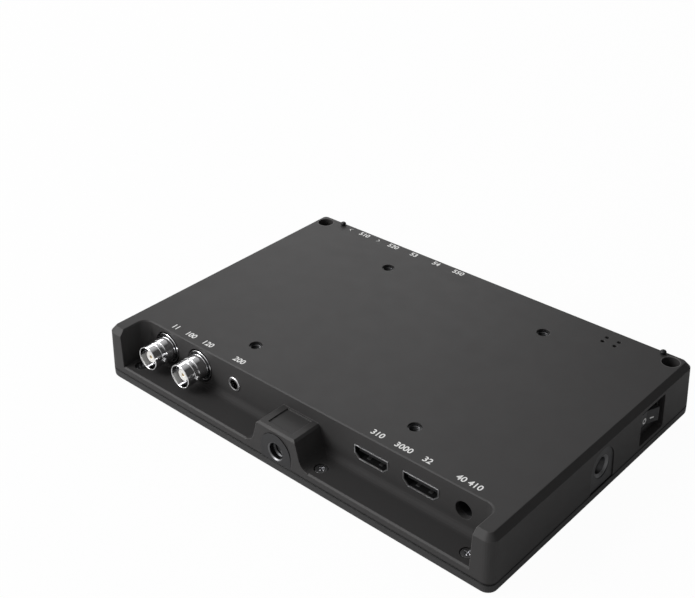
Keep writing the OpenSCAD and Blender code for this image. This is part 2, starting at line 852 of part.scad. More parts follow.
module light_guide() {
    color(white_colour) screen_block(panel_w - 2 * tray_t, panel_h - 2 * tray_t,
        cell_z + cell_t, tray_z1 - tray_t);
}

module panel_tray() {
    color(steel_colour) difference() {
        screen_block(panel_w, panel_h, cell_z, tray_z1);
        screen_block(panel_w - 2 * tray_t, panel_h - 2 * tray_t, cell_z - over,
            tray_z1 - tray_t);
    }
}

// Main board

// Board with a notch at its corner, in which the power jack hangs
module main_board() {
    color(board_colour) difference() {
        block(-board_x, board_x, board_y0, board_y1, board_top_z - board_t, board_top_z);
        block(power_x - power_body_w / 2 - seat_gap, board_x + over, board_y0 - over,
            room_y0 + power_len + 2 * seat_gap, board_top_z - board_t - over, board_top_z + over);
        for (p = board_spots)
            bar_z(p, board_top_z - board_t - over, board_top_z + over, board_screw_r + seat_gap);
    }
}

// Chips under the board: three square bodies in a row
module board_chips() {
    z1 = board_top_z - board_t;
    small_x = panel_socket_x - panel_socket_w / 2 - chip_side - chip_small;
    mid_x = small_x - chip_gap - chip_mid;
    big_x = mid_x - chip_gap - chip_big;
    color(black_colour) for (c = [[big_x, chip_big], [mid_x, chip_mid], [small_x, chip_small]])
        block(c[0], c[0] + c[1], y_mid, y_mid + c[1], z1 - chip_t, z1);
}

module shield_can() {
    color(steel_colour) block(shield_x, shield_x + shield_w, shield_y, shield_y + shield_l,
        board_top_z, board_top_z + shield_t);
}

module ribbon_sockets() {
    z1 = board_top_z - board_t;
    z0 = z1 - ribbon_socket_t;
    y1 = board_y1 - ribbon_socket_in;
    color(white_colour) {
        block(key_mid_x - key_socket_w / 2, key_mid_x + key_socket_w / 2,
            y1 - ribbon_socket_d, y1, z0, z1);
        block(panel_socket_x - panel_socket_w / 2, panel_socket_x + panel_socket_w / 2,
            y_mid - ribbon_socket_d / 2, y_mid + ribbon_socket_d / 2, z0, z1);
    }
}

module board_screws() {
    z1 = board_top_z - board_t;
    color(steel_colour) for (p = board_spots) difference() {
        union() {
            bar_z(p, z1 - board_screw_head_t, z1, board_screw_head_r);
            bar_z(p, z1 - skin, board_top_z + board_screw_len - board_screw_spare, board_screw_r);
        }
        cross_recess(p, z1 - board_screw_head_t, board_screw_head_r * 0.6, recess_depth);
    }
}

// Cross recess cut upwards from z into a screw head
module cross_recess(spot, z, reach, depth) {
    for (a = [0, 90]) translate([spot[0], spot[1], z]) rotate(a)
        translate([-reach, -reach * 0.22, -skin]) cube([2 * reach, reach * 0.44, depth + skin]);
}

// Flat display cable: out of its socket, down and along the tray
module panel_ribbon() {
    start = -y_mid - ribbon_socket_d / 2 - ribbon_gap;
    turn = -y_mid - panel_ribbon_turn;
    end = -y_mid - panel_ribbon_run;
    color("#8a5a2a") translate([panel_socket_x + panel_ribbon_w / 2, 0, 0])
        rotate([90, 0, -90]) linear_extrude(panel_ribbon_w)
            polygon([[start, ribbon_z1], [turn, ribbon_z1], [turn, tray_z1 + ribbon_t],
                [end, tray_z1 + ribbon_t], [end, tray_z1], [turn + ribbon_t, tray_z1],
                [turn + ribbon_t, ribbon_z1 - ribbon_t], [start, ribbon_z1 - ribbon_t]]);
}

// Flat key cable from the main board to the key board
module key_ribbon() {
    y0 = board_y1 - ribbon_socket_in;
    y1 = key_board_y1 - key_board_t;
    color("#8a5a2a") block(key_mid_x - key_ribbon_w / 2, key_mid_x + key_ribbon_w / 2,
        y0 + skin, y1, ribbon_z1 - ribbon_t, ribbon_z1);
}

// Key board

module key_board() {
    y0 = key_board_y1 - key_board_t;
    color(board_colour) difference() {
        block(key_board_x0, key_board_x1, y0, key_board_y1, key_board_z0, key_board_z1);
        for (x = key_board_spots)
            bar_y(x, key_screw_z, y0 - over, key_board_y1 + over, board_screw_r + seat_gap);
    }
}

module key_switches() {
    color(steel_colour) for (x = key_xs) {
        block(x - key_switch_w / 2, x + key_switch_w / 2, key_board_y1,
            key_board_y1 + key_switch_h, key_z - key_switch_w / 2, key_z + key_switch_w / 2);
        bar_y(x, key_z, key_board_y1 + key_switch_h - skin,
            key_board_y1 + key_switch_h + key_button_h, key_button_r);
    }
}

module key_board_screws() {
    y0 = key_board_y1 - key_board_t;
    color(steel_colour) for (x = key_board_spots) {
        bar_y(x, key_screw_z, y0 - board_screw_head_t, y0, board_screw_head_r);
        bar_y(x, key_screw_z, y0 - skin, key_board_y1 + key_screw_reach, board_screw_r);
    }
}

module push_key(x) {
    color(black_colour) {
        translate([x, key_tip_y, key_z]) rotate([90, 0, 0])
            linear_extrude(key_tip_y - key_wall_in_y + key_flange_t) stadium(key_w, key_h);
        translate([x, key_wall_in_y, key_z]) rotate([90, 0, 0]) linear_extrude(key_flange_t)
            stadium(key_w + 2 * key_flange, key_h + 2 * key_flange);
        bar_y(x, key_z, key_stem_end_y, key_wall_in_y, key_stem_r);
    }
}

module exit_key() { push_key(key_xs[0]); }
module function_key_1() { push_key(key_xs[1]); }
module function_key_2() { push_key(key_xs[2]); }
module input_key() { push_key(key_xs[3]); }

module menu_wheel() {
    count = 2 * menu_teeth;
    color(black_colour) translate([menu_x, menu_y, key_z - menu_t / 2]) difference() {
        linear_extrude(menu_t) polygon([for (i = [0 : count - 1])
            let (r = menu_r - (i % 2) * menu_tooth) r * [cos(360 * (i + 0.5) / count),
                sin(360 * (i + 0.5) / count)]]);
        translate([0, 0, -over]) cylinder(h = menu_t + 2 * over, r = menu_pin_r + run_gap);
    }
}

// Fork: two plates over and under the wheel, its pin, and a tail that slides
module menu_fork() {
    half_t = menu_t / 2 + move_gap;
    color(steel_colour) {
        for (s = [-1, 1]) {
            z0 = key_z + (s > 0 ? half_t : -half_t - menu_plate_t);
            block(menu_x - menu_plate_half, menu_x + menu_plate_half,
                menu_y - menu_fork_tail, menu_y, z0, z0 + menu_plate_t);
            bar_z([menu_x, menu_y], z0, z0 + menu_plate_t, menu_plate_half);
        }
        bar_z([menu_x, menu_y], key_z - half_t, key_z + half_t, menu_pin_r);
        block(menu_x - menu_plate_half, menu_x + menu_plate_half,
            menu_y - menu_fork_tail - menu_fork_back_t, menu_y - menu_fork_tail + skin,
            key_z - half_t - menu_plate_t, key_z + half_t + menu_plate_t);
    }
}

// Switch on the main board: base with a button, and two cheeks that guide the fork's tail
module menu_switch() {
    x_in = menu_plate_half + run_gap;
    z1 = key_z + menu_t / 2 + move_gap + menu_plate_t;
    color(black_colour) {
        block(menu_x - x_in - menu_cheek_t, menu_x + x_in + menu_cheek_t,
            menu_base_y1 - menu_base_l, menu_base_y1, board_top_z, z1);
        for (s = [-1, 1])
            block(menu_x + (s > 0 ? x_in : -x_in - menu_cheek_t),
                menu_x + (s > 0 ? x_in + menu_cheek_t : -x_in),
                menu_base_y1 - skin, menu_y - menu_r - move_gap, board_top_z, z1);
        bar_y(menu_x, (board_top_z + z1) / 2, menu_base_y1 - skin,
            menu_base_y1 + key_button_h, key_button_r);
    }
}

// Sockets

// Profile of a coaxial shell, turned about its axis; length runs from the rear wall
function coax_profile() = [
    [coax_bore_r, coax_reach - coax_cup],
    [coax_bore_r, coax_reach],
    [coax_r - coax_step - coax_tip_round, coax_reach],
    [coax_r - coax_step, coax_reach - coax_tip_round],
    [coax_r - coax_step, coax_reach - coax_step_from_tip],
    [coax_r, coax_reach - coax_step_from_tip - coax_step],
    [coax_r, coax_collar_len],
    [coax_collar_r - coax_tip_round, coax_collar_len],
    [coax_collar_r, coax_collar_len - coax_tip_round],
    [coax_collar_r, 0],
    [coax_flange_r, 0],
    [coax_flange_r, -coax_flange_t],
    [coax_collar_r, -coax_flange_t],
    [coax_collar_r, -wall_t - seat_gap],
    [coax_contact_r + run_gap, -wall_t - seat_gap],
    [coax_contact_r + run_gap, coax_reach - coax_cup]];

module coax_shell(x) {
    color(chrome_colour) {
        translate([x, socket_wall_y, socket_z]) rotate([90, 0, 0]) {
            rotate_extrude() polygon(coax_profile());
            for (s = [-1, 1])
                translate([s * coax_lug_foot, 0, coax_reach - coax_lug_from_tip])
                    rotate([0, s * 90, 0])
                        cylinder(h = coax_r + coax_lug_reach - coax_lug_foot, r = coax_lug_r);
        }
        difference() {
            block(x - coax_foot_half, x + coax_foot_half, room_y0 + seat_gap,
                room_y0 + coax_back, board_top_z, socket_z + coax_r);
            bar_y(x, socket_z, room_y0, room_y0 + coax_back + over, coax_contact_r + run_gap);
        }
    }
}

module coax_in_shell() { coax_shell(coax_in_x); }
module coax_out_shell() { coax_shell(coax_out_x); }

module coax_insulators() {
    y1 = socket_wall_y - coax_reach + coax_cup;
    y0 = socket_wall_y - coax_reach + coax_core_short;
    color(white_colour) for (x = [coax_in_x, coax_out_x]) difference() {
        bar_y(x, socket_z, y0, y1, coax_core_r);
        bar_y(x, socket_z, y0 - over, y1 + over, coax_contact_r + run_gap);
    }
}

module coax_contacts() {
    y0 = socket_wall_y - coax_reach + coax_contact_short;
    color(brass_colour) for (x = [coax_in_x, coax_out_x])
        bar_y(x, socket_z, y0, room_y0 + coax_back, coax_contact_r);
}

module phone_sleeve() {
    color(chrome_colour) difference() {
        bar_y(phone_x, socket_z, phone_y0, phone_y0 + phone_len, phone_nose_r);
        bar_y(phone_x, socket_z, phone_y0 - over, phone_y0 + phone_len + over, phone_r);
    }
}

module phone_body() {
    y0 = room_y0 + seat_gap;
    y1 = phone_y0 + phone_len + phone_back_t;
    color(black_colour) difference() {
        block(phone_x - phone_body_w / 2, phone_x + phone_body_w / 2, y0, y1,
            board_top_z, socket_z + phone_nose_r + phone_body_up);
        bar_y(phone_x, socket_z, y0 - over, y1 - phone_back_t, phone_nose_r + skin);
        bar_y(phone_x, socket_z, y0, y1 + over, phone_r);
    }
}

// Outline of a video socket, wide side up, grown by gap
module video_outline(gap) {
    w = video_w / 2 + gap;
    h = video_h / 2 + gap;
    low = w * video_low_share;
    side_z = h - 2 * h * video_side_share;
    polygon([[-w, h], [w, h], [w, side_z], [low, -h], [-low, -h], [-w, side_z]]);
}

module video_shell(x) {
    color(chrome_colour) translate([x, video_y0 + video_len, socket_z]) rotate([90, 0, 0])
        linear_extrude(video_len) difference() {
            video_outline(0);
            video_outline(-video_t);
        }
}

module video_out_shell() { video_shell(video_out_x); }
module video_in_shell() { video_shell(video_in_x); }

module video_cores() {
    y1 = video_y0 + video_len;
    color(black_colour) for (x = [video_out_x, video_in_x]) {
        translate([x, y1, socket_z]) rotate([90, 0, 0])
            linear_extrude(video_core_t) video_outline(-video_t - skin);
        block(x - video_tongue_w / 2, x + video_tongue_w / 2, video_y0 + video_tongue_short,
            y1 - video_core_t + skin, socket_z, socket_z + video_tongue_t);
    }
}

module power_jack_body() {
    y0 = room_y0 + seat_gap;
    color(black_colour) difference() {
        block(power_x - power_body_w / 2, power_x + power_body_w / 2, y0, y0 + power_len,
            power_body_z0, socket_z + power_body_up);
        bar_y(power_x, socket_z, y0 - over, y0 + power_bore_len, power_r);
        bar_y(power_x, socket_z, y0, y0 + power_len + over, power_pin_r + run_gap);
    }
}

module power_jack_pin() {
    color(steel_colour) bar_y(power_x, socket_z, socket_wall_y + power_pin_short,
        room_y0 + seat_gap + power_len, power_pin_r);
}

// Threads and fasteners

module tripod_insert() {
    color(black_steel_colour) difference() {
        tripod_seat(0, tripod_y0 + insert_depth - y_bot);
        bar_y(0, tripod_z, y_bot - over, front_y(tripod_z) + tripod_depth, tripod_r);
        translate([0, y_bot - skin, tripod_z]) rotate([-90, 0, 0])
            cylinder(h = tripod_mouth, r1 = tripod_r + tripod_mouth, r2 = tripod_r);
    }
}

module side_insert() {
    x1 = side_x(side_thread_z);
    color(black_steel_colour) difference() {
        intersection() {
            side_seat(0, insert_depth + over);
            translate([-insert_recess, 0, 0]) cover_form();
        }
        bar_x(side_thread_y, side_thread_z, x1 - tripod_depth, x1 + over, tripod_r);
        translate([x1 + skin - insert_recess - side_mouth_t, side_thread_y, side_thread_z])
            rotate([0, 90, 0])
                cylinder(h = side_mouth_t, r1 = tripod_r, r2 = tripod_r + side_mouth_in);
    }
}

module back_inserts() {
    z1 = body_t - insert_sink;
    color(black_steel_colour) for (p = pattern_spots) difference() {
        bar_z(p, z1 - insert_len, z1, insert_r);
        bar_z(p, z1 - insert_len - over, z1 + over, pattern_r);
    }
}

// Screw with its head up and a cross recess, head seat at z
module cover_screw(spot, seat, head_r, head_t, shank_r) {
    color(steel_colour) difference() {
        union() {
            bar_z(spot, seat, seat + head_t, head_r);
            bar_z(spot, boss_pilot_z + skin, seat + skin, shank_r);
        }
        for (a = [0, 90]) translate([spot[0], spot[1], seat + head_t]) rotate(a)
            translate([-head_r * 0.6, -head_r * 0.14, -socket_key_depth])
                cube([head_r * 1.2, head_r * 0.28, socket_key_depth + over]);
    }
}

module corner_screws() {
    for (s = [-1, 1]) cover_screw([s * corner_hole_x, corner_hole_y], corner_seat_z,
        corner_head_r, corner_head_t, corner_screw_r);
}

module floor_screws() {
    for (x = floor_screw_xs) cover_screw([x, floor_screw_y], floor_sink_z,
        floor_head_r, floor_head_t, floor_screw_r);
}

module hood_studs() {
    color(black_colour) for (s = [-1, 1])
        translate([s * stud_x + stud_shift, y_top - stud_drop, 0]) rotate_extrude() polygon(concat(
            [[0, ceiling_z], [stud_r * 0.6 - skin, ceiling_z], [stud_r * 0.6 - skin, body_t],
                [stud_r * 0.8, body_t], [stud_r * 0.8, body_t + stud_h * 0.35]],
            [for (i = [0 : edge_steps]) let (a = 90 * i / edge_steps)
                [stud_r * cos(a), body_t + stud_h * (0.45 + 0.55 * sin(a))]]));
}

module speaker() {
    color(black_colour) block(speaker_x - speaker_l / 2, speaker_x + speaker_l / 2,
        speaker_y - speaker_d / 2, speaker_y + speaker_d / 2,
        ceiling_z - seat_gap - speaker_t, ceiling_z - seat_gap);
}

// Power switch

module switch_housing() {
    color(black_colour) difference() {
        union() {
            block(pocket_x, pocket_x + frame_t, switch_y - frame_l / 2, switch_y + frame_l / 2,
                switch_z - frame_h / 2, switch_z + frame_h / 2);
            block(pocket_x - housing_len, pocket_x + skin, switch_y - housing_l / 2,
                switch_y + housing_l / 2, switch_z - housing_h / 2, switch_z + housing_h / 2);
        }
        block(rocker_pivot_x - rocker_base_r - move_gap, pocket_x + frame_t + over,
            switch_y - rocker_room_l / 2, switch_y + rocker_room_l / 2,
            switch_z - rocker_room_h / 2, switch_z + rocker_room_h / 2);
        bar_z([rocker_pivot_x, switch_y], switch_z - rocker_w / 2 - rocker_pin_len - seat_gap,
            switch_z + rocker_w / 2 + rocker_pin_len + seat_gap, rocker_pin_r + run_gap);
    }
}

module switch_terminals() {
    x1 = pocket_x - housing_len;
    color(brass_colour) for (s = [-1, 1])
        block(x1 - terminal_len, x1, switch_y + s * housing_l / 4 - terminal_t / 2,
            switch_y + s * housing_l / 4 + terminal_t / 2,
            switch_z - terminal_w / 2, switch_z + terminal_w / 2);
}

// Rocker with two sloping halves, drawn level and then tipped to rest on its lower half
module power_rocker() {
    color("#3c3c3e") translate([rocker_pivot_x, switch_y, switch_z]) rotate(-rocker_tilt) {
        translate([0, 0, -rocker_w / 2]) linear_extrude(rocker_w)
            polygon(concat([[rocker_horn, -rocker_half], [rocker_valley, 0],
                [rocker_horn, rocker_half], [0, rocker_half - rocker_end]],
                [for (i = [0 : 2 * edge_steps]) let (a = 40 + 100 * i / (2 * edge_steps))
                    [-rocker_base_r * sin(a), rocker_base_r * cos(a)]],
                [[0, -rocker_half + rocker_end]]));
        translate([0, 0, -rocker_w / 2 - rocker_pin_len])
            cylinder(h = rocker_w + 2 * rocker_pin_len, r = rocker_pin_r);
    }
}

rear_cover();
front_bezel();
screen_glass();
panel_gasket();
display_cell();
light_guide();
panel_tray();
main_board();
board_chips();
shield_can();
ribbon_sockets();
board_screws();
panel_ribbon();
key_ribbon();
key_board();
key_switches();
key_board_screws();
exit_key();
function_key_1();
function_key_2();
input_key();
menu_wheel();
menu_fork();
menu_switch();
coax_in_shell();
coax_out_shell();
coax_insulators();
coax_contacts();
phone_sleeve();
phone_body();
video_out_shell();
video_in_shell();
video_cores();
power_jack_body();
power_jack_pin();
tripod_insert();
side_insert();
back_inserts();
corner_screws();
floor_screws();
hood_studs();
speaker();
switch_housing();
switch_terminals();
power_rocker();
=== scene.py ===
# %% [markdown]
# # A camera field monitor, seen from behind
#
# The object is a flat screen in a black plastic case. It lies on its glass, with the back
# cover up. Two bays along one edge hold the sockets, and a block between them carries a
# tripod thread. This lesson dresses the solid model: it gives each piece its finish, adds
# the small things that are too fine for the solids, and lights it as a product picture.

# %% Load the solid model
import math

import bmesh
import bpy
from mathutils import Matrix, Vector
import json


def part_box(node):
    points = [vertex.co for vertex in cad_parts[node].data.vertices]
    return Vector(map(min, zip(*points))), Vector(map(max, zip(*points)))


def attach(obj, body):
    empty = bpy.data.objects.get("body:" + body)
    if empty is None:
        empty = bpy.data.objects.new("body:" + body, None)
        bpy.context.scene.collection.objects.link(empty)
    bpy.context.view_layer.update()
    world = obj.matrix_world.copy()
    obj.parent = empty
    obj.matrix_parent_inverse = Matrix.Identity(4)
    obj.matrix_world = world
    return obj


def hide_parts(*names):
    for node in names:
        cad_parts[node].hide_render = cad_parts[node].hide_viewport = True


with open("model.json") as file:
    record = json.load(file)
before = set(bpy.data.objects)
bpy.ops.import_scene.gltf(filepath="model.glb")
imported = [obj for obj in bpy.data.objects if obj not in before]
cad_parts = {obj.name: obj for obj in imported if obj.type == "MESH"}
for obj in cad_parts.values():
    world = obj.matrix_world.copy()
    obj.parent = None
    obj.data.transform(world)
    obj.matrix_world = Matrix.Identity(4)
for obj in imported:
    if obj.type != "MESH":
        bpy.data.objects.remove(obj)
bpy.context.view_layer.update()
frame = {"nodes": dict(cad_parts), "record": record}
MM = 0.001
bpy.context.scene.view_settings.view_transform = "Standard"

# %% [markdown]
# ## The camera
#
# The picture was taken from the right and above, with a lens of about 60 mm on a 36 mm
# sensor. The direction is given by two angles and a small roll, because those can be read
# off the edges of the case. A matrix made from the three camera axes holds it exactly.

# %% Place the camera
turn, tilt, roll = math.radians(42.63), math.radians(31.21), math.radians(-1.24)
eye = Vector((229.52, -273.20, 257.32)) * MM
focal_length, sensor_width = 60.27, 36
back = Vector((math.sin(turn) * math.cos(tilt), -math.cos(turn) * math.cos(tilt),
               math.sin(tilt)))
across = Vector((0, 0, 1)).cross(back).normalized()
upward = back.cross(across)
right = math.cos(roll) * across + math.sin(roll) * upward
above = math.cos(roll) * upward - math.sin(roll) * across
seat = Matrix((right, above, back)).transposed().to_4x4()
seat.translation = eye

lens = bpy.data.cameras.new("camera")
lens.sensor_width = sensor_width
lens.lens = focal_length
lens.clip_start = 0.01
camera = bpy.data.objects.new("camera", lens)
camera.matrix_world = seat
bpy.context.scene.collection.objects.link(camera)
bpy.context.scene.camera = camera
print("camera at", [round(v, 3) for v in camera.location])

# %% [markdown]
# ## Shader sums
#
# A material is a graph of nodes. Written as one call per node it soon gets unreadable, so
# a small class wraps a socket and lets Python's own signs add the Math nodes. Any other
# node comes from one method, which takes the node's type, its settings and its inputs.

# %% A wrapper for sockets


class Wire:
    """An output socket in a material. Sums on it add Math nodes."""

    def __init__(self, tree, socket=None):
        self.tree = tree
        self.socket = socket

    def node(self, kind, settings=None, inputs=None, output=0):
        """Adds a node: its settings come first, then the values or links of its sockets."""
        made = self.tree.nodes.new(kind)
        for key, value in (settings or {}).items():
            if key == "stops":
                self.set_stops(made.color_ramp, value)
            else:
                setattr(made, key, value)
        for key, value in (inputs or {}).items():
            if isinstance(value, Wire):
                self.tree.links.new(value.socket, made.inputs[key])
            else:
                made.inputs[key].default_value = value
        return Wire(self.tree, made.outputs[output] if len(made.outputs) else None)

    @staticmethod
    def set_stops(ramp, stops):
        while len(ramp.elements) < len(stops):
            ramp.elements.new(1)
        for element, (place, grey) in zip(ramp.elements, stops):
            element.position = place
            element.color = (grey, grey, grey, 1)

    def math(self, operation, *values):
        return self.node("ShaderNodeMath", {"operation": operation},
                         dict(enumerate(values)))

    def __add__(self, other):
        return self.math("ADD", self, other)

    def __radd__(self, other):
        return self.math("ADD", other, self)

    def __sub__(self, other):
        return self.math("SUBTRACT", self, other)

    def __rsub__(self, other):
        return self.math("SUBTRACT", other, self)

    def __mul__(self, other):
        return self.math("MULTIPLY", self, other)

    def __rmul__(self, other):
        return self.math("MULTIPLY", other, self)

    def __gt__(self, other):
        return self.math("GREATER_THAN", self, other)

    def __lt__(self, other):
        return self.math("LESS_THAN", self, other)


print("shader sums ready")

# %% [markdown]
# Every finish starts from the same few things: an empty graph, the place of a point on the
# object in metres, cloudy noise of a given size, and a mix of two colours. The place comes
# from the object's own coordinates, so that the grain moves with a key when it is pressed.

# %% Helpers that every finish uses
finishes = {}


def new_finish(name):
    """Starts an empty graph, and keeps its material under the name."""
    material = bpy.data.materials.new(name)
    material.use_nodes = True
    material.node_tree.nodes.clear()
    finishes[name] = material
    print("finish:", name)
    return Wire(material.node_tree)


def place_on(wire):
    return wire.node("ShaderNodeTexCoord", output="Object")


def axes_of(wire):
    """The place on the object as three separate wires."""
    parts = wire.node("ShaderNodeSeparateXYZ", None, {0: place_on(wire)}).socket.node
    return [Wire(wire.tree, parts.outputs[name]) for name in "XYZ"]


def clouds(wire, size, detail=2.0, harshness=0.5):
    """Noise whose patches are about size metres across, from 0 to 1."""
    return wire.node("ShaderNodeTexNoise", None,
                     {"Vector": place_on(wire), "Scale": 1 / size, "Detail": detail,
                      "Roughness": harshness})


def mix_colour(wire, share, first, second):
    return wire.node("ShaderNodeMix", {"data_type": "RGBA"},
                     {0: share, 6: first, 7: second}, output=2)


def colour(*values):
    return (*values, 1.0)


def shade(values, factor):
    return colour(*[v * factor for v in values])


def finish_surface(wire, **inputs):
    """Ends a graph with the surface shader and its output."""
    names = {key.replace("_", " "): value for key, value in inputs.items()}
    surface = wire.node("ShaderNodeBsdfPrincipled", None, names)
    wire.node("ShaderNodeOutputMaterial", None, {"Surface": surface})


print("finish helpers ready")

# %% [markdown]
# ## Moulded plastic
#
# The case is black plastic, and its colour changes in a few places. The edges are paler
# and smoother: partly wear from handling, partly a painted highlight. On the floor of the
# two bays nothing rubs, so it stays duller, and its colour there is darkened as painted
# shade. The seam is painted dark as painted shade. Pale rims round the two corner holes are
# painted highlights on their chamfers. Each place could be painted in a picture, but that
# needs unwrapped faces. A mask made from the place of a point is exact: it is one there and
# zero elsewhere. Edges are found where the rounded normal of a Bevel node leaves the flat
# one.

# %% Places that the finish marks
bay_end, bay_front, bay_rear = 87 * MM, -60.9 * MM, -47.6 * MM
bay_curve_top, bay_curve_foot = 14 * MM, 10.5 * MM
seam_middle, flat_back = 4.15 * MM, 22.6 * MM
corner_hole_x, corner_hole_y, corner_rim_r = 83.4 * MM, 53.9 * MM, 3.55 * MM
half_seam, half_seam_shade = 0.35 * MM, 0.65 * MM
edge_stops = [(0.8, 1.0), (0.985, 0.0)]


def edge_wear_and_highlight(wire, rounded):
    """One where the rounded normal leaves the flat one, zero on the faces."""
    flat = wire.node("ShaderNodeNewGeometry", output="True Normal")
    likeness = wire.node("ShaderNodeVectorMath", {"operation": "DOT_PRODUCT"},
                         {0: rounded, 1: flat}, output=1)
    return wire.node("ShaderNodeValToRGB", {"stops": edge_stops}, {0: likeness})


def map_range(wire, value, start, end, low=0.0):
    """Low where the value is at start, one where it is at end, and a ramp between."""
    return wire.node("ShaderNodeMapRange", None, {0: value, 1: start, 2: end, 3: low})


def foot_of_bays(wire):
    """One on the floor of the two bays and in the curve up to their wall."""
    x, y, z = axes_of(wire)
    inside = (x > -bay_end) * (x < bay_end) * (y > bay_front) * (y < bay_rear)
    return inside * map_range(wire, z, bay_curve_top, bay_curve_foot)


def seam_shade(wire):
    """One in the seam between the cover and the frame, zero a little way off it."""
    off = axes_of(wire)[2] - seam_middle
    return map_range(wire, off.math("ABSOLUTE", off), half_seam_shade, half_seam)


def corner_rims(wire):
    """One on a narrow ring round the two corner holes, where the chamfer gets a painted
    highlight.
    """
    left, right = [wire.node("ShaderNodeVectorMath", {"operation": "DISTANCE"},
                             {0: place_on(wire), 1: (x, corner_hole_y, flat_back)}, output=1)
                   for x in (-corner_hole_x, corner_hole_x)]
    nearest = left.math("MINIMUM", left, right)
    return (axes_of(wire)[2] > flat_back - 0.3 * MM) * (nearest < corner_rim_r)


print("masks: edges, bays, seam, corner holes")

# %% [markdown]
# The mould's steel was spark eroded. That leaves a grain finer than half a millimetre,
# which breaks up the gloss. A bump from fine noise gives the grain, slow noise moves colour
# and roughness a little, and the Bevel node rounds the sharp edges by a fraction of a
# millimetre, because a real mould has no perfect edge. The paler edges, partly wear and
# partly painted highlight, are strongest on the edge with the sockets, where the monitor is
# set down and where the light falls. The masks then mix in paler and darker tones of the
# same plastic: painted highlights and painted shade.

# %% Moulded plastic finishes
mould_edge, slow_size, wear_sheen_size = 0.3 * MM, 26 * MM, 7 * MM
highlight_wear_start, highlight_wear_full, highlight_wear_elsewhere = -56 * MM, -60 * MM, 0.3


def moulded(name, tone, roughness, grain=0.35 * MM, depth=0.012 * MM, gloss=0.26,
            cover=False):
    """Plastic with grain and edges paled by wear and painted highlight; the cover has bays and
    corner holes as well.
    """
    wire = new_finish(name)
    slow = clouds(wire, slow_size, 3.0)
    grit = clouds(wire, grain, 2.0, 0.6)
    wear_sheen_noise = clouds(wire, wear_sheen_size, 4.0, 0.65)
    base = mix_colour(wire, slow, shade(tone, 0.9), shade(tone, 1.1))
    speckled = mix_colour(wire, 0.25 * grit, base, shade(tone, 1.35))
    rounded = wire.node("ShaderNodeBevel", {"samples": 6}, {"Radius": mould_edge})
    wear_and_highlight_share = map_range(wire, axes_of(wire)[1], highlight_wear_start, highlight_wear_full, highlight_wear_elsewhere)
    worn_and_lit = edge_wear_and_highlight(wire, rounded) * (0.4 + wear_sheen_noise) * wear_and_highlight_share
    # Painted highlight, partly real wear: the edges are mixed towards a paler tone.
    marked = mix_colour(wire, 0.75 * worn_and_lit, speckled, shade(tone, 5.2))
    relief = wire.node("ShaderNodeBump", None,
                       {"Strength": 1.0, "Distance": depth, "Height": grit,
                        "Normal": rounded})
    # Painted shade: the seam and a band beside it are mixed towards a quarter of the tone.
    marked = mix_colour(wire, seam_shade(wire), marked, shade(tone, 0.25))
    rough = roughness + 0.1 * (wear_sheen_noise - 0.5) + 0.08 * (grit - 0.5) - 0.12 * worn_and_lit
    if cover:
        bay_matte_and_shade = foot_of_bays(wire)
        # Painted shade: the floor of the bays is darkened to 0.8 of the tone; the added
        # roughness is real.
        marked = mix_colour(wire, 0.75 * bay_matte_and_shade, marked, shade(tone, 0.8))
        # Painted highlight: a paler ring round the two corner holes, on their chamfers.
        marked = mix_colour(wire, 0.8 * corner_rims(wire), marked, shade(tone, 3.0))
        rough = rough + 0.24 * bay_matte_and_shade
    finish_surface(wire, Base_Color=marked, Roughness=rough, Specular_IOR_Level=gloss,
                   Normal=relief)


moulded("cover_plastic", (0.034, 0.0328, 0.0328), 0.54, cover=True)
moulded("bezel_plastic", (0.034, 0.0335, 0.034), 0.5)
moulded("black_plastic", (0.012, 0.012, 0.0125), 0.5)
moulded("key_plastic", (0.018, 0.018, 0.019), 0.42)
moulded("stud_plastic", (0.012, 0.012, 0.013), 0.38)
moulded("rocker_plastic", (0.035, 0.035, 0.037), 0.36, grain=0.2 * MM, depth=0.004 * MM)
moulded("white_plastic", (0.78, 0.77, 0.74), 0.4, gloss=0.5)

# %% [markdown]
# ## Plated and plain metal
#
# The coaxial barrels, the video shells and the ring of the headphone socket are plated
# with bright nickel. Plating follows the lathe marks below it, so fine waves along the
# axis of turning bend the reflections a little. Sheet steel and blackened steel are
# rougher, with streaks and a worn tint where fingers and tools touch them.

# %% Metal finishes
streak_size, patch_size, sheet_edge = 1.2 * MM, 4 * MM, 0.08 * MM
socket_shade_ramp = 0.5 * MM


def metal(name, tone, roughness, streak=(1, 1, 1), depth=0.004 * MM, dulled=0.12,
          mouth=None, cross_highlight_below=None):
    """Metal with streaks; streak gives how much finer the noise is along X, Y and Z.

    Behind the place mouth along Y the metal is painted dark: painted shade inside a socket.
    Below the last argument's height it is painted bright: a painted highlight in a screw's
    cross.
    """
    wire = new_finish(name)
    stretched = wire.node("ShaderNodeVectorMath", {"operation": "MULTIPLY"},
                          {0: place_on(wire), 1: streak})
    lines = wire.node("ShaderNodeTexNoise", None,
                      {"Vector": stretched, "Scale": 1 / streak_size, "Detail": 3.0})
    patches = clouds(wire, patch_size, 3.0)
    base = mix_colour(wire, lines, shade(tone, 0.9), shade(tone, 1.06))
    handled = mix_colour(wire, 0.5 * patches, base, shade(tone, 0.85))
    rounded = wire.node("ShaderNodeBevel", {"samples": 4}, {"Radius": sheet_edge})
    relief = wire.node("ShaderNodeBump", None,
                       {"Strength": 1.0, "Distance": depth, "Height": lines,
                        "Normal": rounded})
    rough = roughness + dulled * (patches - 0.4) * lines
    if cross_highlight_below is not None:
        # Painted highlight: the screw's cross, below the given height, is made brighter.
        handled = mix_colour(wire, axes_of(wire)[2] < cross_highlight_below, handled, shade(tone, 2.4))
    if mouth is not None:
        # Painted shade: the metal behind the mouth is darkened almost to black.
        socket_shade = map_range(wire, axes_of(wire)[1] - mouth, 0, socket_shade_ramp)
        handled = mix_colour(wire, socket_shade, handled, shade(tone, 0.06))
        rough = rough + 0.2 * socket_shade
    finish_surface(wire, Base_Color=handled, Metallic=1.0, Roughness=rough, Normal=relief)


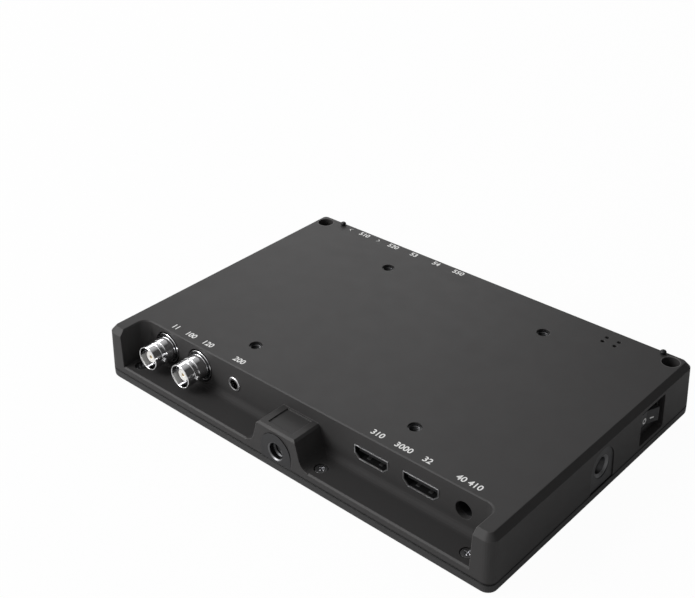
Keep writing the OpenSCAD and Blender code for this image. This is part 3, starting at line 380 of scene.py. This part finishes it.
turned_rings, rolled_sheet = (0.15, 6, 0.15), (1, 8, 1)
video_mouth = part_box("video_out_shell")[0].y + 0.12 * MM
screw_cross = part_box("floor_screws")[1].z - 0.1 * MM
metal("plated_metal", (0.86, 0.86, 0.87), 0.1, turned_rings, depth=0.0015 * MM, dulled=0.06)
# The video shells: satin nickel with painted shade behind their mouth.
metal("satin_nickel", (0.58, 0.58, 0.59), 0.36, mouth=video_mouth)
metal("brushed_nickel", (0.75, 0.75, 0.76), 0.27)
# A dark copy of nickel, as painted shade on the spring tabs deep in the video sockets.
metal("dim_nickel", (0.12, 0.12, 0.122), 0.45)
metal("gold_contact", (0.83, 0.62, 0.27), 0.22)
metal("bright_steel", (0.6, 0.6, 0.61), 0.3, rolled_sheet)
metal("insert_steel", (0.07, 0.07, 0.072), 0.42)
# A paler copy of the insert steel, as a painted highlight on the tripod thread mouths.
metal("worn_steel", (0.2, 0.2, 0.205), 0.4)
metal("screw_steel", (0.24, 0.24, 0.245), 0.28)
# Screw steel with a painted highlight in the cross.
metal("cross_highlight_steel", (0.24, 0.24, 0.245), 0.28, cross_highlight_below=screw_cross)

# %% [markdown]
# ## Glass
#
# The front of the monitor is one sheet of glass. A black border is printed behind it, and
# the picture area inside shows a very dark grey with a faint blue. Both are one material:
# a mask from the place of a point says which side of the border it is on.

# %% Screen glass
view_half_x, view_half_y, view_y = 75.5 * MM, 47.2 * MM, 1.3 * MM


def screen_finish(name):
    wire = new_finish(name)
    off_x, y = axes_of(wire)[:2]
    off_y = y - view_y
    inside_x = off_x.math("ABSOLUTE", off_x) < view_half_x
    inside_y = off_y.math("ABSOLUTE", off_y) < view_half_y
    picture = inside_x * inside_y
    smears = clouds(wire, 18 * MM, 5.0, 0.6)
    base = mix_colour(wire, picture, colour(0.004, 0.004, 0.004),
                      colour(0.011, 0.012, 0.015))
    rough = 0.05 + 0.09 * picture + 0.06 * smears * smears
    finish_surface(wire, Base_Color=base, Roughness=rough, Specular_IOR_Level=0.5)


screen_finish("screen_glass")

# %% [markdown]
# ## Film, foam and board
#
# The inner pieces are only seen when the part is taken apart, but each still gets what it
# is made of: green board with copper tracks, amber film with conductors, and open-cell
# foam. One helper serves them all, because each is two tones in a pattern: noise, or cells
# whose outline depends on how distance is measured.

# %% Film, foam and board


def layered(name, low, high, roughness, size, cell=None, depth=0.01 * MM, gloss=0.4):
    """Two tones in a cell or noise pattern of a given size, raised a little."""
    wire = new_finish(name)
    kind = "ShaderNodeTexVoronoi" if cell else "ShaderNodeTexNoise"
    pattern = wire.node(kind, {"distance": cell} if cell else None,
                        {"Vector": place_on(wire), "Scale": 1 / size})
    steps = wire.node("ShaderNodeValToRGB", {"stops": [(0.35, 0.0), (0.55, 1.0)]},
                      {0: pattern})
    base = mix_colour(wire, steps, colour(*low), colour(*high))
    relief = wire.node("ShaderNodeBump", None,
                       {"Strength": 1.0, "Distance": depth, "Height": pattern})
    rough = roughness + 0.1 * (pattern - 0.5)
    finish_surface(wire, Base_Color=base, Roughness=rough, Specular_IOR_Level=gloss,
                   Normal=relief)


layered("foam", (0.02, 0.02, 0.02), (0.06, 0.06, 0.06), 0.9, 0.5 * MM, "EUCLIDEAN",
        0.1 * MM, 0.1)
# A near-black sheet for the cord in the seam, as painted shade.
layered("seam_shade_black", (0.003, 0.003, 0.003), (0.006, 0.006, 0.006), 0.85, 0.4 * MM,
        gloss=0.1)
layered("cell_film", (0.015, 0.018, 0.022), (0.02, 0.024, 0.03), 0.2, 9 * MM)
layered("board_laminate", (0.012, 0.07, 0.035), (0.02, 0.13, 0.06), 0.32, 2.6 * MM,
        "MANHATTAN")
layered("ribbon_film", (0.25, 0.1, 0.02), (0.42, 0.2, 0.05), 0.35, 1.4 * MM, "CHEBYCHEV")
layered("print_white", (0.8, 0.8, 0.79), (0.9, 0.9, 0.89), 0.55, 0.3 * MM)

# %% [markdown]
# ## Dress the solid pieces
#
# The record that comes with the solid model says which finish each node takes. A loop
# over that list is shorter and safer than a line for each of the 45 pieces: a piece with
# no finish would stop the script. The two video shells are plated like the rest, but they
# are satin, and painted dark a little way in as painted shade. The screws in the bay floor
# have a painted highlight in their crosses. So these get a closer finish of their own.

# %% Give every node its finish
closer_finish = {"video_out_shell": "satin_nickel", "video_in_shell": "satin_nickel",
                 "floor_screws": "cross_highlight_steel"}
for row in frame["record"]["subparts"]:
    data = frame["nodes"][row["node"]].data
    data.materials.clear()
    chosen = closer_finish.get(row["node"], row["material_slot"])
    data.materials.append(finishes[chosen])

# %% [markdown]
# ## Pieces of the scene's own
#
# The small things that follow aren't in the solid model. Each is a mesh in metres, in the
# frame of the object. It gets a finish and rides on the body that carries it, so that it
# moves when that body does. Most are rows of points with a skin over them: a turned ring, a
# bar on an outline, a strip wound along a helix. A modifier for each could do the same, but
# a skin over rows is one short helper, and its points are known exactly.

# %% Helpers for pieces


def add_piece(name, mesh, finish, body):
    piece = bpy.data.objects.new(name, mesh)
    bpy.context.scene.collection.objects.link(piece)
    mesh.materials.clear()
    mesh.materials.append(finishes[finish])
    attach(piece, body)
    return piece


def joined(name, meshes):
    """One mesh from several."""
    whole = bmesh.new()
    for part in meshes:
        whole.from_mesh(part)
    mesh = bpy.data.meshes.new(name)
    whole.to_mesh(mesh)
    whole.free()
    return mesh


def without_slivers(mesh, near=0.004 * MM):
    """Welds points closer than near, drops faces without area and counts open edges."""
    shape = bmesh.new()
    shape.from_mesh(mesh)
    bmesh.ops.remove_doubles(shape, verts=shape.verts, dist=near)
    bmesh.ops.dissolve_degenerate(shape, edges=shape.edges, dist=near)
    bmesh.ops.triangulate(shape, faces=shape.faces)
    open_edges = sum(1 for edge in shape.edges if len(edge.link_faces) != 2)
    shape.to_mesh(mesh)
    shape.free()
    return open_edges


def skinned(name, rows, closed):
    """A skin over rows of points, each a loop. The rows close too, or get two caps."""
    shape = bmesh.new()
    made = [[shape.verts.new(point) for point in row] for row in rows]
    for low, high in zip(made, made[1:] + made[:1] if closed else made[1:]):
        for k in range(len(low)):
            m = (k + 1) % len(low)
            shape.faces.new((low[k], high[k], high[m], low[m]))
    if not closed:
        for end in (made[0], made[-1]):
            shape.faces.new(end)
    bmesh.ops.recalc_face_normals(shape, faces=shape.faces)
    mesh = bpy.data.meshes.new(name)
    shape.to_mesh(mesh)
    shape.free()
    return mesh


def prism(outline, low, high, place=None):
    """A mesh that stands on an outline of (x, y) points, from low to high."""
    mesh = skinned("prism", [[(x, y, z) for x, y in outline] for z in (low, high)], False)
    if place is not None:
        mesh.transform(place)
    return mesh


def turned(outline, place, steps=72):
    """A closed outline of (radius, reach) in millimetres, turned about the Z axis."""
    angles = [2 * math.pi * i / steps for i in range(steps)]
    mesh = skinned("turned", [[(r * MM * math.cos(angle), r * MM * math.sin(angle), reach * MM)
                               for r, reach in outline] for angle in angles], True)
    mesh.transform(place)
    return mesh


def facing_out(x, y, z, degrees, axis):
    """Turns a piece about one axis, then moves its start to a point."""
    return Matrix.Translation((x, y, z)) @ Matrix.Rotation(math.radians(degrees), 4, axis)


print("piece helpers ready")

# %% [markdown]
# ## Printed marks
#
# White marks are printed on the back beside every socket and key. The words on the real
# one are left off, and plain numbers as long as the words stand in their places. They
# name nothing: the first digit only counts the groups, which are coaxial, headphone, video,
# power, and the wheel with its keys. They could be a picture on the surface, but a thin
# raised layer of ink stays sharp in every view. Text objects turned into meshes give it.

# %% Numbers beside the sockets and keys
back_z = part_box("rear_cover")[1].z
ink, digit_size, digit_swell = 0.02 * MM, 3.5 * MM, 0.07 * MM


def number_mesh(text, x, y):
    letters = bpy.data.curves.new("number", "FONT")
    letters.body = text
    letters.size = digit_size
    letters.align_x = "CENTER"
    letters.align_y = "CENTER"
    letters.offset = digit_swell
    letters.extrude = ink / 2
    letters.resolution_u = 5
    drawn = bpy.data.objects.new("number", letters)
    mesh = bpy.data.meshes.new_from_object(drawn)
    bpy.data.objects.remove(drawn)
    mesh.transform(Matrix.Translation((x, y, back_z + ink / 2)))
    return mesh


socket_row_y, key_row_y = -45.0 * MM, 55.8 * MM
socket_marks = {"11": -68.5, "100": -60.0, "120": -50.7, "200": -34.0,
                "310": 31.6, "3000": 42.6, "32": 52.4, "40 410": 68.9}
key_marks = {"510": -62.6, "520": -46.6, "53": -35.4, "54": -23.7, "550": -12.4}
numbers = [number_mesh(text, x * MM, socket_row_y) for text, x in socket_marks.items()]
numbers += [number_mesh(text, x * MM, key_row_y) for text, x in key_marks.items()]
ink_mesh = joined("back_numbers", numbers)
open_edges = without_slivers(ink_mesh)
add_piece("back_numbers", ink_mesh, "print_white", "housing")
print("numbers:", len(numbers), "open edges:", open_edges)

# %% [markdown]
# Two small arrows stand beside the wheel's number and say that it turns both ways. They
# are drawn as bent strokes, an outline of six points each.

# %% Arrows beside the wheel
arrow_reach, arrow_rise, arrow_line = 0.55 * MM, 0.95 * MM, 0.3 * MM
arrow_left, arrow_right = -70.5 * MM, -54.6 * MM


def arrow(x, way):
    tip, tail = x + way * arrow_reach, x - way * arrow_reach
    inner = way * arrow_line
    outline = [(tip, 0), (tail, arrow_rise), (tail - inner, arrow_rise),
               (tip - 1.5 * inner, 0), (tail - inner, -arrow_rise), (tail, -arrow_rise)]
    return prism([(px, key_row_y + py) for px, py in outline], back_z, back_z + ink)


arrows = joined("wheel_arrows", [arrow(arrow_left, -1), arrow(arrow_right, 1)])
add_piece("wheel_arrows", arrows, "print_white", "housing")
print("arrows: 2")

# %% [markdown]
# ## Marks on the power rocker
#
# The rocker carries a ring for off and a bar for on, one on each sloping half. The halves
# meet in an upright valley. So a mark is laid out flat, moved along from the valley and
# then turned with the half it lies on. At rest the half towards the sockets faces straight
# out and carries the ring. The half towards the keys is tipped and carries the bar.

# %% Ring and bar on the rocker
valley = Vector((87.603, 31.634, 12.9)) * MM
rock_angle = math.radians(22)
ring_along, ring_height, bar_along, bar_height = [
    v * MM for v in (-1.17, -0.95, 2.37, -0.81)]
ring_r, ring_hole_r, ink_mm = 1.15, 0.7, ink / MM
bar_half_l, bar_half_w = 0.8 * MM, 0.3 * MM


def on_half(along, height, tipped):
    """Places a flat drawing on a half of the rocker: its up is the object's up."""
    flat = Matrix.Rotation(math.radians(90), 4, "Z") @ Matrix.Rotation(
        math.radians(90), 4, "X")
    lying = Matrix.Translation(valley) @ (
        Matrix.Rotation(-rock_angle, 4, "Z") if tipped else Matrix.Identity(4))
    return lying @ Matrix.Translation((0, along, height)) @ flat


bar = prism([(-bar_half_l, -bar_half_w), (bar_half_l, -bar_half_w),
             (bar_half_l, bar_half_w), (-bar_half_l, bar_half_w)], 0, ink,
            on_half(bar_along, bar_height, True))
ring = turned([(ring_r, 0), (ring_r, ink_mm), (ring_hole_r, ink_mm), (ring_hole_r, 0)],
              on_half(ring_along, ring_height, False), steps=40)
add_piece("rocker_marks", joined("rocker_marks", [ring, bar]), "print_white",
          "power_rocker_body")
print("rocker marks: ring and bar")

# %% [markdown]
# ## Screw threads
#
# In the solid model a thread is a plain round wall at its outer radius. The real inserts
# have a helical ridge that catches the light in the mouth of the hole. It could be a
# bump, but a bump can't change the outline of the mouth. So a ridge is wound along the
# wall: four points for every step of the helix, two on the wall and two on the crest.

# %% A helical ridge
crest_start, crest_end, ridge_end = 0.4, 0.52, 0.92


def thread_mesh(mouth, axis, radius, pitch, turns, height, steps=28):
    """A ridge on the wall of a hole; mouth is its first point, and axis runs inwards."""
    axis = Vector(axis)
    side = axis.orthogonal().normalized()
    up = axis.cross(side)
    rows = []
    for i in range(int(turns * steps) + 1):
        angle = 2 * math.pi * i / steps
        ray = math.cos(angle) * side + math.sin(angle) * up
        depth = pitch * i / steps
        row = [(radius, depth), (radius - height, depth + pitch * crest_start),
               (radius - height, depth + pitch * crest_end),
               (radius, depth + pitch * ridge_end)]
        rows.append([Vector(mouth) + axis * d + ray * r for r, d in row])
    return skinned("thread", rows, False)


tripod_radius, tripod_pitch, tripod_ridge = 3.17 * MM, 1.27 * MM, 0.55 * MM
lower_turns, side_turns = 5, 4.5
lower_thread_z, side_thread_z = 8.9 * MM, 12.0 * MM
lower_mouth = (0, -60.2 * MM, lower_thread_z)
side_mouth = (87.6 * MM, 0, side_thread_z)
lower_thread = thread_mesh(lower_mouth, (0, 1, 0), tripod_radius, tripod_pitch,
                           lower_turns, tripod_ridge)
side_thread = thread_mesh(side_mouth, (-1, 0, 0), tripod_radius, tripod_pitch,
                          side_turns, tripod_ridge)
add_piece("tripod_threads", joined("tripod_threads", [lower_thread, side_thread]),
          "insert_steel", "housing")

plate_radius, plate_pitch, plate_ridge, plate_turns = 1.995 * MM, 0.7 * MM, 0.34 * MM, 6.5
plate_mouth = 21.8 * MM
hole_spots = [(x * MM, y * MM) for x in (-36.6, 38.4) for y in (-34.1, 40.9)]
plate_threads = [thread_mesh((x, y, plate_mouth), (0, 0, -1), plate_radius, plate_pitch,
                             plate_turns, plate_ridge, steps=20)
                 for x, y in hole_spots]
add_piece("plate_threads", joined("plate_threads", plate_threads), "insert_steel",
          "housing")
print("threads: 2 tripod,", len(plate_threads), "plate")

# %% [markdown]
# ## Coaxial barrels
#
# A coaxial socket is a turned brass barrel with bright plating. A collar reaches out to
# half its length, and the tip carries two lugs that a plug locks on. A black washer keeps
# it off the case, and only a thin plated ring shows round that. The solid model has a
# plainer barrel with a short thick collar. A finer outline turned about the axis shows the
# grooves, and it stands in for the solid shell.

# %% Turn a barrel with its lugs
coax_xs = {"coax_in_shell": -70.1 * MM, "coax_out_shell": -52.0 * MM}
socket_wall, socket_height = -48.735 * MM, 14.5 * MM
barrel_outline = [(0.75, 2.0), (4.32, 2.0), (4.32, 9.7), (4.42, 9.82), (4.62, 9.82),
                  (4.76, 9.68), (4.8, 6.6), (4.68, 6.5), (4.68, 6.3), (4.8, 6.2),
                  (4.8, 4.85), (4.5, 4.75), (4.5, 4.45), (4.88, 4.35), (4.96, 4.2),
                  (4.96, -0.7), (5.7, -0.7), (5.7, -1.9), (0.75, -1.9)]
ring_outline = [(5.66, -0.7), (5.66, -0.05), (5.76, 0.08), (5.92, 0.08), (6.02, -0.05),
                (6.02, -0.7)]
washer_outline = [(4.99, -0.69), (4.99, -0.3), (5.08, -0.22), (5.55, -0.22),
                  (5.64, -0.3), (5.64, -0.69)]
lug_outline = [(0.01, 4.5), (0.86, 4.5), (0.86, 5.5), (0.7, 5.66), (0.01, 5.66)]
lug_from_wall, lug_lift = 5.6 * MM, math.radians(6)
foot_outline = [(-6.0, 2.0), (6.0, 2.0), (6.0, 8.6), (5.4, 9.2), (-5.4, 9.2), (-6.0, 8.6)]
foot_z, foot_height = 11.75 * MM, 7.5


def soften(piece, angle=math.radians(28)):
    """Shades a piece smooth, but keeps the edges that are sharper than the angle."""
    for face in piece.data.polygons:
        face.use_smooth = True
    edged = bmesh.new()
    edged.from_mesh(piece.data)
    for edge in edged.edges:
        if len(edge.link_faces) == 2 and edge.calc_face_angle(0) > angle:
            edge.smooth = False
    edged.to_mesh(piece.data)
    edged.free()


for node, x in coax_xs.items():
    out = facing_out(x, socket_wall, socket_height, 90, "X")
    meshes = [turned(barrel_outline, out), turned(ring_outline, out)]
    for way in (0, math.pi):
        lug_place = out @ Matrix.Rotation(way - lug_lift, 4, "Z") @ facing_out(
            0, 0, lug_from_wall, 90, "Y")
        meshes.append(turned(lug_outline, lug_place, steps=24))
    foot_place = Matrix.Translation((x, socket_wall, foot_z)) @ Matrix.Scale(MM, 4)
    meshes.append(prism(foot_outline, 0, foot_height, foot_place))
    barrel = add_piece(node.replace("shell", "barrel"), joined(node, meshes),
                       "plated_metal", "housing")
    soften(barrel)
    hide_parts(node)
    washer = add_piece(node.replace("shell", "washer"), turned(washer_outline, out),
                       "black_plastic", "housing")
    soften(washer)
print("coaxial barrels:", len(coax_xs))

# %% [markdown]
# ## Side insert with an open cone
#
# The steel insert in the right side has a wide cone at its mouth, which guides the screw
# in. The side of the case leans by two degrees, and on the lower half the solid model
# leaves a lip a tenth of a millimetre thick in front of that cone. A countersink would
# have taken it off. So a copy of the insert has the lip cut away by a short round bar,
# with a Boolean modifier, and stands in for the solid one.

# %% Cut the lip off
cone_edge_x, cone_edge_r, bar_end_x, bar_core_r = 89.375, 4.485, 91.0, 0.001
round_bar = bpy.data.objects.new("round_bar", turned(
    [(bar_core_r, cone_edge_x), (cone_edge_r, cone_edge_x), (cone_edge_r, bar_end_x),
     (bar_core_r, bar_end_x)], facing_out(0, 0, side_thread_z, 90, "Y")))
insert = frame["nodes"]["side_insert"]
cone_piece = bpy.data.objects.new("copy", insert.data.copy())
cone_piece.data.transform(insert.matrix_world)
for thing in (round_bar, cone_piece):
    bpy.context.scene.collection.objects.link(thing)
cut = cone_piece.modifiers.new("cut", "BOOLEAN")
cut.object = round_bar
cut.operation = "DIFFERENCE"
cut.solver = "EXACT"
view = bpy.context.evaluated_depsgraph_get()
cut_mesh = bpy.data.meshes.new_from_object(cone_piece.evaluated_get(view))
for thing in (round_bar, cone_piece):
    bpy.data.objects.remove(thing)
open_edges = without_slivers(cut_mesh)
opened = add_piece("side_insert_open", cut_mesh, "insert_steel", "housing")
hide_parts("side_insert")
print("side insert faces:", len(cut_mesh.polygons), "open edges:", open_edges)

# %% [markdown]
# ## Mouths of the tripod threads
#
# The cone at the mouth of each tripod thread shows a bright ring. A thin cone of paler
# steel lies on each mouth, a few hundredths of a millimetre proud, and its pale tone is a
# painted highlight.

# %% Cones with a painted highlight
lower_cone = [(3.16, -0.43), (3.57, -0.02), (3.6, 0.0), (3.64, -0.01), (3.24, -0.46)]
side_cone = [(3.12, -0.77), (4.14, -0.135), (4.2, -0.12), (4.22, -0.14), (3.2, -0.79)]
lower_face, side_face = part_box("tripod_insert")[0].y, 89.36 * MM
lower_place = facing_out(0, lower_face, lower_thread_z, 90, "X")
side_place = facing_out(side_face, 0, side_thread_z, 90, "Y")
cones = joined("thread_mouths", [turned(lower_cone, lower_place),
                                 turned(side_cone, side_place)])
# Painted highlight: the cones are paler steel than the inserts round them.
add_piece("thread_mouths", cones, "worn_steel", "housing")
print("worn cones: 2")

# %% [markdown]
# ## A black cord in the seam, as painted shade
#
# The back cover and the front frame meet with a thin gap. A near-black cord lies in it as
# painted shade, so that the seam looks black from every side. It is a flat ring on the
# outline of the case, a third of a millimetre in from the faces.

# %% Seam cord of painted shade
case_half, case_foot, case_head, case_corner = 90.0, -61.7, 60.7, 3.5


def case_outline(inset, steps=10):
    """The case's outline at the seam in millimetres, moved inwards."""
    radius = case_corner - inset
    points = []
    for sx, sy, first in ((1, 1, 0), (-1, 1, 90), (-1, -1, 180), (1, -1, 270)):
        cx = sx * (case_half - case_corner)
        cy = case_head - case_corner if sy > 0 else case_foot + case_corner
        for i in range(steps + 1):
            angle = math.radians(first + 90 * i / steps)
            points.append((cx + radius * math.cos(angle), cy + radius * math.sin(angle)))
    return points


cord_out, cord_in, cord_low, cord_high = 0.28, 0.46, 4.02, 4.28
cord_loops = [[(x * MM, y * MM, z * MM) for x, y in case_outline(inset)]
              for inset, z in ((cord_out, cord_low), (cord_out, cord_high),
                               (cord_in, cord_high), (cord_in, cord_low))]
# Painted shade: a near-black cord fills the seam.
add_piece("seam_shade_cord", skinned("seam_shade_cord", cord_loops, True), "seam_shade_black", "housing")
print("seam cord: 1")

# %% [markdown]
# ## Headphone lip and power pin
#
# The headphone socket ends in a plated lip, rolled over so that a plug slides in without
# a scratch. The power socket is a deep hole with a round-nosed pin in it. The pin sits so
# far back that a plug's collar covers it before it touches. Both are turned like the
# barrels. The pin stands in for the solid model's plain rod, which reaches further out.

# %% Lip and pin
phone_x, lip_sharp = -33.4 * MM, math.radians(50)
lip_outline = [(1.85, 0.2), (2.05, 0.3), (2.35, 0.37), (2.65, 0.36), (2.86, 0.28),
               (2.98, 0.12), (3.0, 0.02), (2.8, 0.02)]
phone_out = facing_out(phone_x, socket_wall, socket_height, 90, "X")
lip = add_piece("headphone_lip", turned(lip_outline, phone_out), "brushed_nickel",
                "housing")
soften(lip, lip_sharp)

pin_low, pin_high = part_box("power_jack_pin")
pin_r = (pin_high.x - pin_low.x) / 2 / MM
pin_nose, pin_end = 3.8, (pin_high.y - socket_wall) / MM
pin_outline = [(0.01, pin_nose), (0.45 * pin_r, pin_nose + 0.07),
               (0.8 * pin_r, pin_nose + 0.35), (pin_r, pin_nose + 0.8), (pin_r, pin_end),
               (0.01, pin_end)]
pin_in = facing_out((pin_low.x + pin_high.x) / 2, socket_wall, socket_height, -90, "X")
pin = add_piece("power_pin", turned(pin_outline, pin_in), "plated_metal", "housing")
soften(pin, lip_sharp)
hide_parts("power_jack_pin")
print("lip and pin: 2")

# %% [markdown]
# ## Inside the video sockets
#
# A video socket is a folded steel shell round a plastic tongue. The tongue carries flat
# gold contacts, ten above and nine below, and the lower ones stand between the upper ones.
# They are thin strips that lie on the tongue.

# %% Contacts
video_xs = [31.9 * MM, 52.7 * MM]
tongue_low, tongue_high = 14.5 * MM, 15.5 * MM
contact_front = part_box("video_cores")[0].y + 0.15 * MM
contact_len, contact_half, contact_t = 5.4 * MM, 0.22 * MM, 0.05 * MM
contact_pitch = 1.0 * MM


def contact_row(middle, count, low, high):
    """A row of strips from low to high, with the row's middle at a place along X."""
    strips = []
    for i in range(count):
        x = middle + (i - (count - 1) / 2) * contact_pitch
        left, right = x - contact_half, x + contact_half
        front, rear = contact_front, contact_front + contact_len
        strips.append(prism([(left, front), (right, front), (right, rear), (left, rear)],
                            low, high))
    return strips


contacts = []
for middle in video_xs:
    contacts += contact_row(middle, 10, tongue_high, tongue_high + contact_t)
    contacts += contact_row(middle, 9, tongue_low - contact_t, tongue_low)
add_piece("video_contacts", joined("video_contacts", contacts), "gold_contact",
          "housing")
print("video sockets:", len(contacts), "contacts")

# %% [markdown]
# The shell has spring tabs stamped out of its two wide walls. They bow inwards and grip
# the plug. A bow is half a sine wave, so it leaves the wall and comes back to it.

# %% Spring tabs
tab_len, tab_t, tab_bow, tab_steps = 4.2 * MM, 0.08 * MM, 0.2 * MM, 8
shell_t, tab_from_mouth = 0.35 * MM, 1.8 * MM
high_tab_x, high_tab_half, low_tab_x, low_tab_half = [
    v * MM for v in (3.6, 0.8, 2.6, 0.7)]


def spring_tab(x, wall_z, way, y0, half):
    """A bowed strip that leaves the shell's wall towards the plug and comes back."""
    rows = []
    for i in range(tab_steps + 1):
        share = i / tab_steps
        z = wall_z - way * math.sin(math.pi * share) * tab_bow
        rows.append([(x + side * half, y0 + share * tab_len, z - way * depth)
                     for side, depth in ((-1, 0), (1, 0), (1, tab_t), (-1, tab_t))])
    return skinned("tab", rows, False)


shell_low, shell_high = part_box("video_out_shell")
tab_y = shell_low.y + tab_from_mouth
tabs = []
for middle in video_xs:
    for side in (-1, 1):
        tabs.append(spring_tab(middle + side * high_tab_x, shell_high.z - shell_t, 1,
                               tab_y, high_tab_half))
        tabs.append(spring_tab(middle + side * low_tab_x, shell_low.z + shell_t, -1,
                               tab_y, low_tab_half))
# The tabs take the dark copy of nickel, as painted shade inside the sockets.
add_piece("video_spring_tabs", joined("video_spring_tabs", tabs), "dim_nickel",
          "housing")
print("video sockets:", len(tabs), "tabs")

# %% [markdown]
# ## The floor and the light
#
# The picture has a plain white ground. The floor is a pale sheet that shows white to the
# camera and keeps a small part of its own shading, so that the case still throws a soft
# shadow. In reflections it is mostly the sheet itself. The world is dim for the light it
# gives and white to look at.

# %% Floor and world


def seen_directly(wire, in_gloss):
    """One for rays from the camera and through glass, in_gloss in gloss, else zero."""
    path = wire.node("ShaderNodeLightPath")
    rays = {name: Wire(wire.tree, path.socket.node.outputs["Is " + name + " Ray"])
            for name in ("Camera", "Glossy", "Transmission")}
    plain = rays["Camera"].math("MAXIMUM", rays["Camera"], rays["Transmission"])
    return plain.math("MAXIMUM", plain, in_gloss * rays["Glossy"])


floor_half, floor_drop = 3.0, 0.02 * MM
floor_white, floor_in_gloss, ambient = 0.97, 0.1, 0.26
bright_side, gloss_stops = (-0.51, -0.51, 0.69), [(0.56, 0.05), (0.9, 1.0)]

floor_shape = bmesh.new()
bmesh.ops.create_grid(floor_shape, x_segments=8, y_segments=8, size=floor_half)
floor_mesh = bpy.data.meshes.new("floor")
floor_shape.to_mesh(floor_mesh)
floor_shape.free()
floor = bpy.data.objects.new("floor", floor_mesh)
floor.location.z = -floor_drop
bpy.context.scene.collection.objects.link(floor)

wire = new_finish("floor_white")
paper = wire.node("ShaderNodeBsdfDiffuse", None, {"Color": colour(0.8, 0.8, 0.8)})
glow = wire.node("ShaderNodeEmission", None, {"Color": colour(1, 1, 1), "Strength": 1.0})
sheet = wire.node("ShaderNodeMixShader", None,
                  {0: floor_white * seen_directly(wire, floor_in_gloss), 1: paper,
                   2: glow})
wire.node("ShaderNodeOutputMaterial", None, {"Surface": sheet})
floor_mesh.materials.append(finishes["floor_white"])

world = bpy.data.worlds.new("studio")
bpy.context.scene.world = world
world.use_nodes = True
world.node_tree.nodes.clear()
wire = Wire(world.node_tree)
facing = wire.node("ShaderNodeVectorMath", {"operation": "DOT_PRODUCT"},
                   {0: wire.node("ShaderNodeTexCoord", output="Generated"),
                    1: bright_side}, output=1)
in_gloss = wire.node("ShaderNodeValToRGB", {"stops": gloss_stops},
                     {0: 0.5 + 0.5 * facing})
lit = seen_directly(wire, in_gloss)
strength = lit + ambient * (1 - seen_directly(wire, 1.0))
sky = wire.node("ShaderNodeBackground", None,
                {"Color": colour(1, 1, 1), "Strength": strength})
wire.node("ShaderNodeOutputWorld", None, {"Surface": sky})
print("floor and world set")

# %% [markdown]
# Two soft boxes light the case. The large one stands in front on the left and above: it
# brightens the socket edge and the bevel above it, and leaves the right side dark. The
# second stands low behind on the left, and its gloss runs out across the back cover. A
# narrow strip high behind gives the plated barrels their one bright line.

# %% Soft boxes


def soft_box(name, direction, distance, width, height, watts):
    lamp = bpy.data.lights.new(name, "AREA")
    lamp.shape = "RECTANGLE"
    lamp.size = width
    lamp.size_y = height
    lamp.energy = watts
    box = bpy.data.objects.new(name, lamp)
    towards = Vector(direction).normalized()
    box.location = towards * distance
    box.rotation_euler = towards.to_track_quat("Z", "Y").to_euler()
    bpy.context.scene.collection.objects.link(box)


soft_box("front_left_box", (-0.57, -0.66, 0.54), 1.2, 0.7, 0.7, 12.5)
soft_box("back_left_box", (-0.62, 0.62, 0.48), 0.9, 0.5, 0.5, 1.6)
soft_box("high_strip", (-0.36, 0.63, 0.62), 1.2, 0.13, 0.36, 0.3)
print("soft boxes: 2, strip: 1")

# %% [markdown]
# ## Finish
#

# %% End
import json
